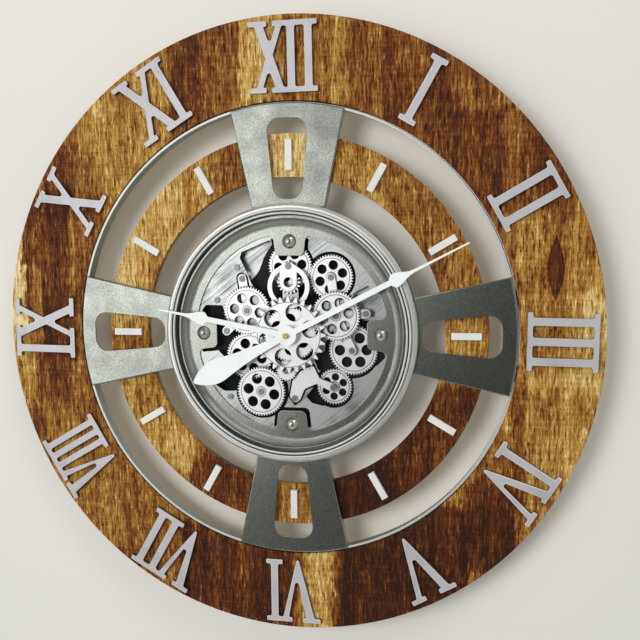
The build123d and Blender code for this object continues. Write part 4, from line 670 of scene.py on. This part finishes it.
def lacquer(name, colour, roughness, speckle_mm, variation, metallic=0.0):
    """A lacquered or moulded surface with a faint texture and slow changes of tone."""
    made, tree = new_material(name)
    place = add_node(tree, "ShaderNodeTexCoord").outputs["Object"]
    speckle_scale = per_mm(*[speckle_mm] * 3)
    speckle_place = add_node(tree, "ShaderNodeMapping", {"Vector": place, "Scale": speckle_scale})
    speckle = add_node(tree, "ShaderNodeTexNoise", {"Vector": speckle_place, "Scale": 1.0, "Detail": 3.0})
    cloud_place = add_node(tree, "ShaderNodeMapping", {"Vector": place, "Scale": per_mm(28, 28, 28)})
    clouds = add_node(tree, "ShaderNodeTexNoise", {"Vector": cloud_place, "Scale": 1.0, "Detail": 1.0})
    both = add_node(tree, "ShaderNodeMath", {0: speckle, 1: clouds}, operation="ADD")
    dark = [channel * (1 - variation) for channel in colour]
    tone = add_node(tree, "ShaderNodeValToRGB", {"Fac": both}, stops=((0.75, dark), (1.0, colour)))
    rough = add_node(
        tree, "ShaderNodeMapRange",
        {
            "Value": speckle,
            "From Min": 0.3,
            "From Max": 0.7,
            "To Min": roughness + LACQUER_GLOSS_SHIFT,
            "To Max": roughness - LACQUER_GLOSS_SHIFT,
        },
    )
    bump = add_node(tree, "ShaderNodeBump", {"Strength": 0.1, "Distance": 0.05 * MM, "Height": speckle})
    shader = add_node(
        tree, "ShaderNodeBsdfPrincipled",
        {"Base Color": tone, "Metallic": metallic, "Roughness": rough, "Normal": bump},
    )
    add_node(tree, "ShaderNodeOutputMaterial", {"Surface": shader})
    return made


def satin_numeral():
    """Satin silver lacquer on the cut numerals, with a fine metallic grit."""
    return lacquer(
        "satin_silver_lacquer", bpy.context.scene.clock_colours.numeral,
        roughness=0.42, speckle_mm=1.4, variation=0.16, metallic=0.25,
    )


def highlit_numeral_rim():
    """The numerals' eased edges, painted lighter than their faces as a highlight."""
    return lacquer(
        "highlit_numeral_edge", linear("#DAD9DB"),
        roughness=0.36, speckle_mm=1.4, variation=0.1, metallic=0.25,
    )


def shaded_numeral_flank():
    """The numerals' sides, painted darker than their faces as shade and as the dark wood they mirror."""
    return lacquer(
        "shaded_silver_lacquer", linear("#6C6A6E"),
        roughness=0.34, speckle_mm=1.4, variation=0.2, metallic=0.8,
    )


def raw_board():
    """Raw fibreboard on the rings' backs: pale tan, matt, faintly flecked."""
    return lacquer("raw_fibreboard", linear("#B7A27E"), roughness=0.8, speckle_mm=2.4, variation=0.22)


def white_lacquer():
    """White lacquer on the hands, smooth and half glossy."""
    return lacquer("white_lacquer", linear("#EDF2F0"), roughness=0.34, speckle_mm=2.0, variation=0.06)


def marker_lacquer():
    """Off-white lacquer on the hour markers, a little uneven."""
    return lacquer("off_white_lacquer", linear("#DEDEDA"), roughness=0.4, speckle_mm=1.6, variation=0.16)


def black_abs():
    """Black moulded ABS of the drum, the covers and the movement, with a fine spark texture."""
    return lacquer("black_moulded_abs", linear("#2A2A2B"), roughness=0.5, speckle_mm=0.9, variation=0.25)


def black_paint():
    """Matt black paint on the plate behind the wheels."""
    return lacquer("matt_black_paint", linear("#0C0D0D"), roughness=0.62, speckle_mm=1.0, variation=0.3)


def cell_jacket():
    """Shrunk plastic jacket of the cells, plain dark blue and fairly glossy."""
    return lacquer("plain_cell_jacket", linear("#33507E"), roughness=0.3, speckle_mm=3.0, variation=0.1)


FINISHES = {
    "outer planks": outer_planks,
    "inner planks": inner_planks,
    "numeral": satin_numeral,
    "numeral rim": highlit_numeral_rim,
    "numeral flank": shaded_numeral_flank,
    "board": raw_board,
    "white": white_lacquer,
    "marker": marker_lacquer,
    "pewter": antique_pewter,
    "highlit edge": highlit_pewter_edge,
    "cover": spun_cover,
    "dish": spun_dish,
    "sheet": brushed_sheet,
    "plating": bright_plating,
    "bead": bead_steel,
    "flank": shaded_flank,
    "steel": polished_steel,
    "zinc": satin_zinc,
    "hoop wall": shaded_hoop_wall,
    "dark steel": dark_steel,
    "nickel": dome_nickel,
    "brass": turned_brass,
    "abs": black_abs,
    "black": black_paint,
    "cell": cell_jacket,
}
made_finishes = {}


def finish(name):
    """The named finish, made on its first use."""
    if name not in made_finishes:
        made_finishes[name] = FINISHES[name]()
    return made_finishes[name]


# An edge is sharp where its two faces turn by more than this
SHARP = math.radians(28)
# Vertices nearer than this are one, and faces that turn by less than this are one flat face
MERGE_DISTANCE = 0.002 * MM
FLAT_ANGLE = math.radians(0.6)
# A face is flat where its normal keeps to the clock's axis by at least the first share, and a flank where
# it does by less than the second
FLAT_SHARE = 0.995
FLANK_SHARE = 0.5


def piece(name, shape, finishes, node):
    """Put a finished shape into the scene in place of the CAD node that it stands for."""
    for face in shape.faces:
        face.smooth = True
    for edge in shape.edges:
        edge.smooth = len(edge.link_faces) == 2 and edge.calc_face_angle() < SHARP
    mesh = bpy.data.meshes.new(name)
    shape.to_mesh(mesh)
    shape.free()
    made = bpy.data.objects.new(name, mesh)
    bpy.context.scene.collection.objects.link(made)
    for finish_name in finishes:
        mesh.materials.append(finish(finish_name))
    made.modifiers.new("flat faces", "WEIGHTED_NORMAL").keep_sharp = True
    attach(made, frame["nodes"][node]["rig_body"])
    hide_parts(node)


def merged_copy(node):
    """A merged copy of a CAD node with its flat faces whole."""
    shape = bmesh.new()
    shape.from_mesh(frame["nodes"][node].data)
    bmesh.ops.remove_doubles(shape, verts=shape.verts, dist=MERGE_DISTANCE)
    bmesh.ops.dissolve_limit(shape, angle_limit=FLAT_ANGLE, verts=shape.verts, edges=shape.edges)
    return shape


# How far the V stands from its numeral's middle in millimetres, and the numeral's turn in degrees
VEES = {
    "numeral_4": (5.7, -122.4),
    "numeral_5": (0.0, -150.8),
    "numeral_6": (-4.95, -180.2),
    "numeral_7": (-12.85, -210.0),
    "numeral_8": (-15.25, -240.0),
}
NUMERAL_RADIUS = 260.8 * MM
# Height of the opened notch's foot over the numeral's middle, and the half width and half height of the
# area whose corners belong to the notch
VEE_NOTCH = -9.0 * MM
VEE_NOTCH_REACH = 5.0 * MM
VEE_NOTCH_LIMIT = 22.0 * MM


def open_vee(shape, offset, turn):
    """Deepen the notch between the strokes of a V, so that both strokes stay slim as far as its point."""
    upright = Matrix.Rotation(math.radians(turn), 4, "Y")
    middle = Vector((offset * MM, 0, NUMERAL_RADIUS))
    places = {vert: upright @ vert.co - middle for vert in shape.verts}
    notch = [
        vert for vert, place in places.items()
        if abs(place.x) < VEE_NOTCH_REACH and abs(place.z) < VEE_NOTCH_LIMIT
    ]
    depth = min(places[vert].z for vert in notch) - VEE_NOTCH
    bmesh.ops.translate(shape, verts=notch, vec=upright.inverted() @ Vector((0, 0, -depth)))


def face_kind(face, rounded):
    """Whether a face is a rounded edge, a flank, a slope, or a flat at the front or at the back."""
    if face in rounded:
        return "edge"
    if abs(face.normal.y) < FLANK_SHARE:
        return "flank"
    if abs(face.normal.y) < FLAT_SHARE:
        return "slope"
    return "back" if face.normal.y > 0 else "front"


def soften(nodes, width, finishes, suffix, segments=2):
    """Replace each node by a copy with rounded edges. The finishes are named by kind of face, and a
    kind that isn't named takes the first one."""
    kinds = list(finishes)
    for node in nodes:
        shape = merged_copy(node)
        if node in VEES:
            open_vee(shape, *VEES[node])
        closed = [edge for edge in shape.edges if len(edge.link_faces) == 2]
        sharp = [edge for edge in closed if edge.calc_face_angle() > SHARP]
        made = bmesh.ops.bevel(
            shape, geom=sharp, offset=width, offset_type="OFFSET", segments=segments, profile=0.5,
            affect="EDGES", clamp_overlap=True, material=-1,
        )
        rounded = set(made["faces"])
        for face in shape.faces:
            kind = face_kind(face, rounded)
            face.material_index = kinds.index(kind) if kind in kinds else 0
        piece(f"{node}_{suffix}", shape, finishes.values(), node)


def dress(nodes, finish_name, suffix):
    """Replace each node by a copy with clean shading."""
    for node in nodes:
        piece(f"{node}_{suffix}", merged_copy(node), (finish_name,), node)


WHEEL_GROOVE_DEPTH = 0.4 * MM


def dress_wheels(nodes, face_finish, flank_finish):
    """Replace each wheel by a copy with clean shading; its flanks and turned grooves are painted shade."""
    for node in nodes:
        shape = merged_copy(node)
        flats = [face for face in shape.faces if face.normal.y < -FLAT_SHARE]
        heights = {face: -face.calc_center_median().y for face in flats}
        fronts = {round(height / MM, 2) for height in heights.values()}
        for face in shape.faces:
            above = round((heights.get(face, 0) + WHEEL_GROOVE_DEPTH) / MM, 2)
            flank = abs(face.normal.y) < FLANK_SHARE
            face.material_index = int(flank or (face in heights and above in fronts))
        piece(f"{node}_toothed", shape, (face_finish, flank_finish), node)


def paint(nodes, finish_name):
    """Give CAD nodes a finish and keep their shape."""
    for node in nodes:
        materials = frame["nodes"][node].data.materials
        materials.clear()
        materials.append(finish(finish_name))


class CLOCK_OT_rings(bpy.types.Operator):
    """Make the two wooden rings with eased edges"""

    bl_idname = "clock.rings"
    bl_label = "Wooden rings"

    def execute(self, context):
        width = context.scene.clock_sizes.ring_edge
        soften(("outer_ring",), width, {"front": "outer planks", "back": "board"}, "planks")
        soften(("inner_ring",), width, {"front": "inner planks", "back": "board"}, "planks")
        return {"FINISHED"}


class CLOCK_OT_numerals(bpy.types.Operator):
    """Make the raised numerals and the hour markers"""

    bl_idname = "clock.numerals"
    bl_label = "Numerals and markers"

    def execute(self, context):
        sizes = context.scene.clock_sizes
        numerals = [f"numeral_{hour}" for hour in HOURS]
        # The eased edges are painted lighter as a highlight and the sides darker as shade
        lacquered = {"front": "numeral", "edge": "numeral rim", "flank": "numeral flank"}
        soften(numerals, sizes.numeral_edge, lacquered, "raised", segments=3)
        soften(("hour_markers",), sizes.sheet_edge, {"front": "marker"}, "batons")
        return {"FINISHED"}


class CLOCK_OT_spokes(bpy.types.Operator):
    """Make the hoop with its straps and screws, and the pressed spokes"""

    bl_idname = "clock.spokes"
    bl_label = "Hoop and spokes"

    def execute(self, context):
        width = context.scene.clock_sizes.sheet_edge
        # The hoop's walls are painted darker than its rim, as shade
        soften(("hoop",), width, {"front": "zinc", "flank": "hoop wall"}, "rolled")
        soften(("strap_screws",), width, {"front": "steel"}, "plain")
        spokes = [f"spoke_{quarter}" for quarter in QUARTERS]
        # The spokes' edges are painted lighter as a highlight
        soften(spokes, width, {"front": "pewter", "edge": "highlit edge"}, "pressed")
        return {"FINISHED"}


# Section of the bezel as radius and height in millimetres, and the middles of its two beads
BEZEL_SECTION = (
    (120.4, 44.5), (126.0, 44.5), (126.0, 48.7), (123.4, 51.5), (121.2, 51.5), (121.2, 52.6),
    (115.5, 52.6), (114.6, 51.5), (114.6, 48.0), (120.4, 48.0),
)
BEAD_MIDDLES = ((120.0, 53.15), (116.65, 53.15))
BEAD_SIDES = 20
BEZEL_STEPS = 288
# Inside this radius and below this height, in millimetres, the bezel takes painted shade
BEZEL_GROOVE_RADIUS = 121.3
BEZEL_GROOVE_HEIGHT = 53.1


def bezel_ring(bead_radius):
    """The bezel turned about the clock's axis: two round beads, with painted shade in the grooves beside
    them.
    """
    shape = bmesh.new()
    corners = [shape.verts.new((radius * MM, -height * MM, 0)) for radius, height in BEZEL_SECTION]
    for start, end in zip(corners, corners[1:] + corners[:1]):
        shape.edges.new((start, end))
    for radius, height in BEAD_MIDDLES:
        middle = Matrix.Translation((radius * MM, -height * MM, 0))
        bmesh.ops.create_circle(shape, segments=BEAD_SIDES, radius=bead_radius, matrix=middle)
    bmesh.ops.spin(
        shape, geom=shape.verts[:] + shape.edges[:], cent=(0, 0, 0), axis=(0, 1, 0), dvec=(0, 0, 0),
        angle=math.tau, steps=BEZEL_STEPS, use_merge=True,
    )
    bmesh.ops.remove_doubles(shape, verts=shape.verts, dist=MERGE_DISTANCE)
    bmesh.ops.recalc_face_normals(shape, faces=shape.faces)
    for face in shape.faces:
        middle = face.calc_center_median()
        inside = math.hypot(middle.x, middle.z) < BEZEL_GROOVE_RADIUS * MM
        face.material_index = int(inside and -middle.y < BEZEL_GROOVE_HEIGHT * MM)
    return shape


class CLOCK_OT_case(bpy.types.Operator):
    """Make the bezel, the cover plate and its screws"""

    bl_idname = "clock.case"
    bl_label = "Bezel and cover plate"

    def execute(self, context):
        sizes = context.scene.clock_sizes
        piece("bezel_polished", bezel_ring(sizes.bead_radius), ("bead", "flank"), "bezel")
        # The cover plate's edges are painted lighter as a highlight
        spun = {"front": "cover", "edge": "highlit edge", "slope": "dish"}
        soften(("cover_plate",), sizes.plate_edge, spun, "spun")
        dress(("cover_screws",), "nickel", "domed")
        return {"FINISHED"}


class CLOCK_OT_gears(bpy.types.Operator):
    """Make the plates, bridges and wheels of the gear train"""

    bl_idname = "clock.gears"
    bl_label = "Gear train"

    def execute(self, context):
        width = context.scene.clock_sizes.plate_edge
        # Edges here are painted lighter as a highlight, and flanks and grooves darker as shade
        brushed = {"front": "sheet", "edge": "highlit edge", "flank": "flank"}
        soften(("mid_plate", "floor_plates"), width, brushed, "cut")
        plated = {"front": "plating", "edge": "highlit edge", "flank": "flank"}
        soften(BRIDGES, width, plated, "cut")
        dress_wheels(WHEELS, "plating", "flank")
        turned = {"front": "dark steel", "edge": "highlit edge", "flank": "flank"}
        soften(("module_pillars", "module_screws", "wheel_studs"), width, turned, "turned")
        dress(("motor_pinion",), "brass", "toothed")
        paint(("back_plate",), "black")
        return {"FINISHED"}


class CLOCK_OT_hands(bpy.types.Operator):
    """Make the hands and their nut"""

    bl_idname = "clock.hands"
    bl_label = "Hands"

    def execute(self, context):
        width = context.scene.clock_sizes.hand_edge
        soften(("hour_hand", "minute_hand"), width, {"front": "white"}, "lacquered")
        soften(("hand_nut",), width, {"front": "brass"}, "turned")
        return {"FINISHED"}


class CLOCK_OT_back(bpy.types.Operator):
    """Finish the drum, rear cover, hanger, movement, motor and batteries"""

    bl_idname = "clock.back"
    bl_label = "Back"

    def execute(self, context):
        width = context.scene.clock_sizes.sheet_edge
        soften(("drum", "rear_cover", "battery_door", "setting_knob"), width, {"front": "abs"}, "moulded")
        soften(("rear_screws", "hanger_plate"), width, {"front": "steel"}, "plain")
        paint(("quartz_movement", "battery_box"), "abs")
        paint(("gear_motor",), "steel")
        paint(("movement_nut",), "brass")
        paint(("batteries",), "cell")
        return {"FINISHED"}


# Half width of the wall and floor, and the floor's depth below the clock's middle, in metres
WALL_REACH = 3.0
FLOOR_DROP = 1.5
# Dark card behind the camera with a slanting top, which the metal mirrors on the right and at the foot
CARD_DISTANCE = 2.6
CARD_CORNERS = ((-1.7, -1.49), (0.9, -1.49), (0.9, 2.4), (-1.7, -0.7))
# Place, width and height of each lamp in metres, its power in watts and its roll in degrees
LAMPS = {
    "window_light": ((-0.96, -1.95, 0.06), 1.35, 0.95, 7.8, 48),
    "side_light": ((1.15, -2.0, 0.2), 0.7, 1.0, 1.8, 0),
    "ceiling_light": ((0.9, -1.5, 1.7), 0.8, 0.8, 9, 0),
    "front_light": ((-0.7, -2.5, 0.48), 1.0, 1.0, 28, 0),
    "rear_light": ((0.7, 2.2, 1.0), 1.2, 1.2, 16, 0),
}
# The metal doesn't mirror this lamp, which would show in it as a bright patch
UNMIRRORED_LAMP = "front_light"
WORLD_STRENGTH = 0.44
# The camera's place in metres, its turn in degrees, its lens and sensor in millimetres and its shift
CAMERA_PLACE = (0.26313, -0.94142, 0.09147)
CAMERA_TURN = (81.807, 0.324, 11.715)
CAMERA_LENS = 54.0
CAMERA_SENSOR = 36.0
CAMERA_SHIFT = (-0.0737, 0.0895)
CAMERA_NEAR = 0.01


def wall_paint(wall_colour):
    """Matt paint of wall and floor, faintly uneven. It shows from the front only, to the rays that see
    a background, and is clear to the rest, so that light falls on the clock's back."""
    made, tree = new_material("matt_wall_paint")
    place = add_node(tree, "ShaderNodeTexCoord").outputs["Object"]
    cloud_place = add_node(tree, "ShaderNodeMapping", {"Vector": place, "Scale": per_mm(300, 300, 300)})
    clouds = add_node(tree, "ShaderNodeTexNoise", {"Vector": cloud_place, "Scale": 1.0, "Detail": 2.0})
    dark = [channel * 0.97 for channel in wall_colour]
    tone = add_node(tree, "ShaderNodeValToRGB", {"Fac": clouds}, stops=((0.3, dark), (0.7, wall_colour)))
    painted = add_node(tree, "ShaderNodeBsdfPrincipled", {"Base Color": tone, "Roughness": 0.8})
    clear = add_node(tree, "ShaderNodeBsdfTransparent")
    rays = add_node(tree, "ShaderNodeLightPath").outputs
    seen = rays["Is Camera Ray"]
    for ray in ("Is Glossy Ray", "Is Transmission Ray"):
        seen = add_node(tree, "ShaderNodeMath", {0: seen, 1: rays[ray]}, operation="MAXIMUM")
    behind = add_node(tree, "ShaderNodeNewGeometry").outputs["Backfacing"]
    shown = add_node(tree, "ShaderNodeMath", {0: seen, 1: behind}, operation="SUBTRACT", use_clamp=True)
    shader = add_node(tree, "ShaderNodeMixShader", {0: shown, 1: clear, 2: painted})
    add_node(tree, "ShaderNodeOutputMaterial", {"Surface": shader})
    return made


def black_card():
    """Matt black card, which only shows mirrored in the metal."""
    made, tree = new_material("matt_black_card")
    shader = add_node(
        tree, "ShaderNodeBsdfPrincipled", {"Base Color": (*linear("#1E1E1C"), 1.0), "Roughness": 0.9}
    )
    add_node(tree, "ShaderNodeOutputMaterial", {"Surface": shader})
    return made


def stage_sheet(name, corners, material):
    """A flat sheet of the stage."""
    shape = bmesh.new()
    shape.faces.new([shape.verts.new(corner) for corner in corners])
    mesh = bpy.data.meshes.new(name)
    shape.to_mesh(mesh)
    shape.free()
    mesh.materials.append(material)
    made = bpy.data.objects.new(name, mesh)
    bpy.context.scene.collection.objects.link(made)
    return made


def make_backdrop(scene):
    """The wall just behind the clock, the floor, and the dark card."""
    gap = scene.clock_sizes.wall_gap
    painted = wall_paint(tuple(scene.clock_colours.wall))
    low, high = -WALL_REACH, WALL_REACH
    wall = [(low, gap, -FLOOR_DROP), (high, gap, -FLOOR_DROP), (high, gap, high), (low, gap, high)]
    stage_sheet("wall", wall, painted)
    floor = [(x, y, -FLOOR_DROP) for x, y in ((low, low), (high, low), (high, high), (low, high))]
    stage_sheet("floor", floor, painted)
    card = stage_sheet("shade_card", [(x, -CARD_DISTANCE, z) for x, z in CARD_CORNERS], black_card())
    card.visible_camera = False
    card.visible_diffuse = False
    card.visible_shadow = False


def area_lamp(name, place, width, height, power, roll):
    """A soft lamp that points at the clock's middle, rolled about its own axis by an angle in degrees."""
    data = bpy.data.lights.new(name, "AREA")
    data.shape = "RECTANGLE"
    data.size = width
    data.size_y = height
    data.energy = power
    made = bpy.data.objects.new(name, data)
    made.location = place
    aim = (-Vector(place)).to_track_quat("-Z", "Y")
    made.rotation_euler = (aim @ Quaternion((0, 0, 1), math.radians(roll))).to_euler()
    made.visible_glossy = name != UNMIRRORED_LAMP
    bpy.context.scene.collection.objects.link(made)


def make_world(scene):
    """An even pale world for the fill light."""
    world = bpy.data.worlds.new("soft_studio")
    scene.world = world
    world.use_nodes = True
    tree = world.node_tree
    tree.nodes.clear()
    background = add_node(
        tree, "ShaderNodeBackground", {"Color": (*linear("#F4F4F2"), 1.0), "Strength": WORLD_STRENGTH}
    )
    add_node(tree, "ShaderNodeOutputWorld", {"Surface": background})


def make_camera(scene):
    """A camera at the photograph's viewing angle."""
    data = bpy.data.cameras.new("camera")
    data.sensor_width = CAMERA_SENSOR
    data.lens = CAMERA_LENS
    data.shift_x, data.shift_y = CAMERA_SHIFT
    data.clip_start = CAMERA_NEAR
    camera = bpy.data.objects.new("camera", data)
    camera.location = CAMERA_PLACE
    camera.rotation_euler = [math.radians(angle) for angle in CAMERA_TURN]
    scene.collection.objects.link(camera)
    scene.camera = camera


class CLOCK_OT_stage(bpy.types.Operator):
    """Make the wall, the floor, the card, the lamps, the world and the camera"""

    bl_idname = "clock.stage"
    bl_label = "Stage"

    def execute(self, context):
        make_backdrop(context.scene)
        for name, settings in LAMPS.items():
            area_lamp(name, *settings)
        make_world(context.scene)
        make_camera(context.scene)
        context.scene.view_settings.view_transform = "Standard"
        return {"FINISHED"}


OPERATORS = (
    CLOCK_OT_rings,
    CLOCK_OT_numerals,
    CLOCK_OT_spokes,
    CLOCK_OT_case,
    CLOCK_OT_gears,
    CLOCK_OT_hands,
    CLOCK_OT_back,
    CLOCK_OT_stage,
)


class CLOCK_PT_panel(bpy.types.Panel):
    """Lists the clock's parts, sizes and colours"""

    bl_idname = "CLOCK_PT_panel"
    bl_label = "Gear wall clock"
    bl_space_type = "VIEW_3D"
    bl_region_type = "UI"
    bl_category = "Clock"

    def draw(self, context):
        for step in OPERATORS:
            self.layout.operator(step.bl_idname)
        for group in (context.scene.clock_sizes, context.scene.clock_colours):
            for name in group.__annotations__:
                self.layout.prop(group, name)


CLASSES = (ClockSizes, ClockColours, *OPERATORS, CLOCK_PT_panel)


def register():
    for cls in CLASSES:
        bpy.utils.register_class(cls)
    bpy.types.Scene.clock_sizes = bpy.props.PointerProperty(type=ClockSizes)
    bpy.types.Scene.clock_colours = bpy.props.PointerProperty(type=ClockColours)


def unregister():
    del bpy.types.Scene.clock_colours
    del bpy.types.Scene.clock_sizes
    for cls in reversed(CLASSES):
        bpy.utils.unregister_class(cls)


def main():
    """Build everything in order."""
    register()
    for step in OPERATORS:
        group, name = step.bl_idname.split(".")
        getattr(getattr(bpy.ops, group), name)()


if __name__ == "__main__":
    main()
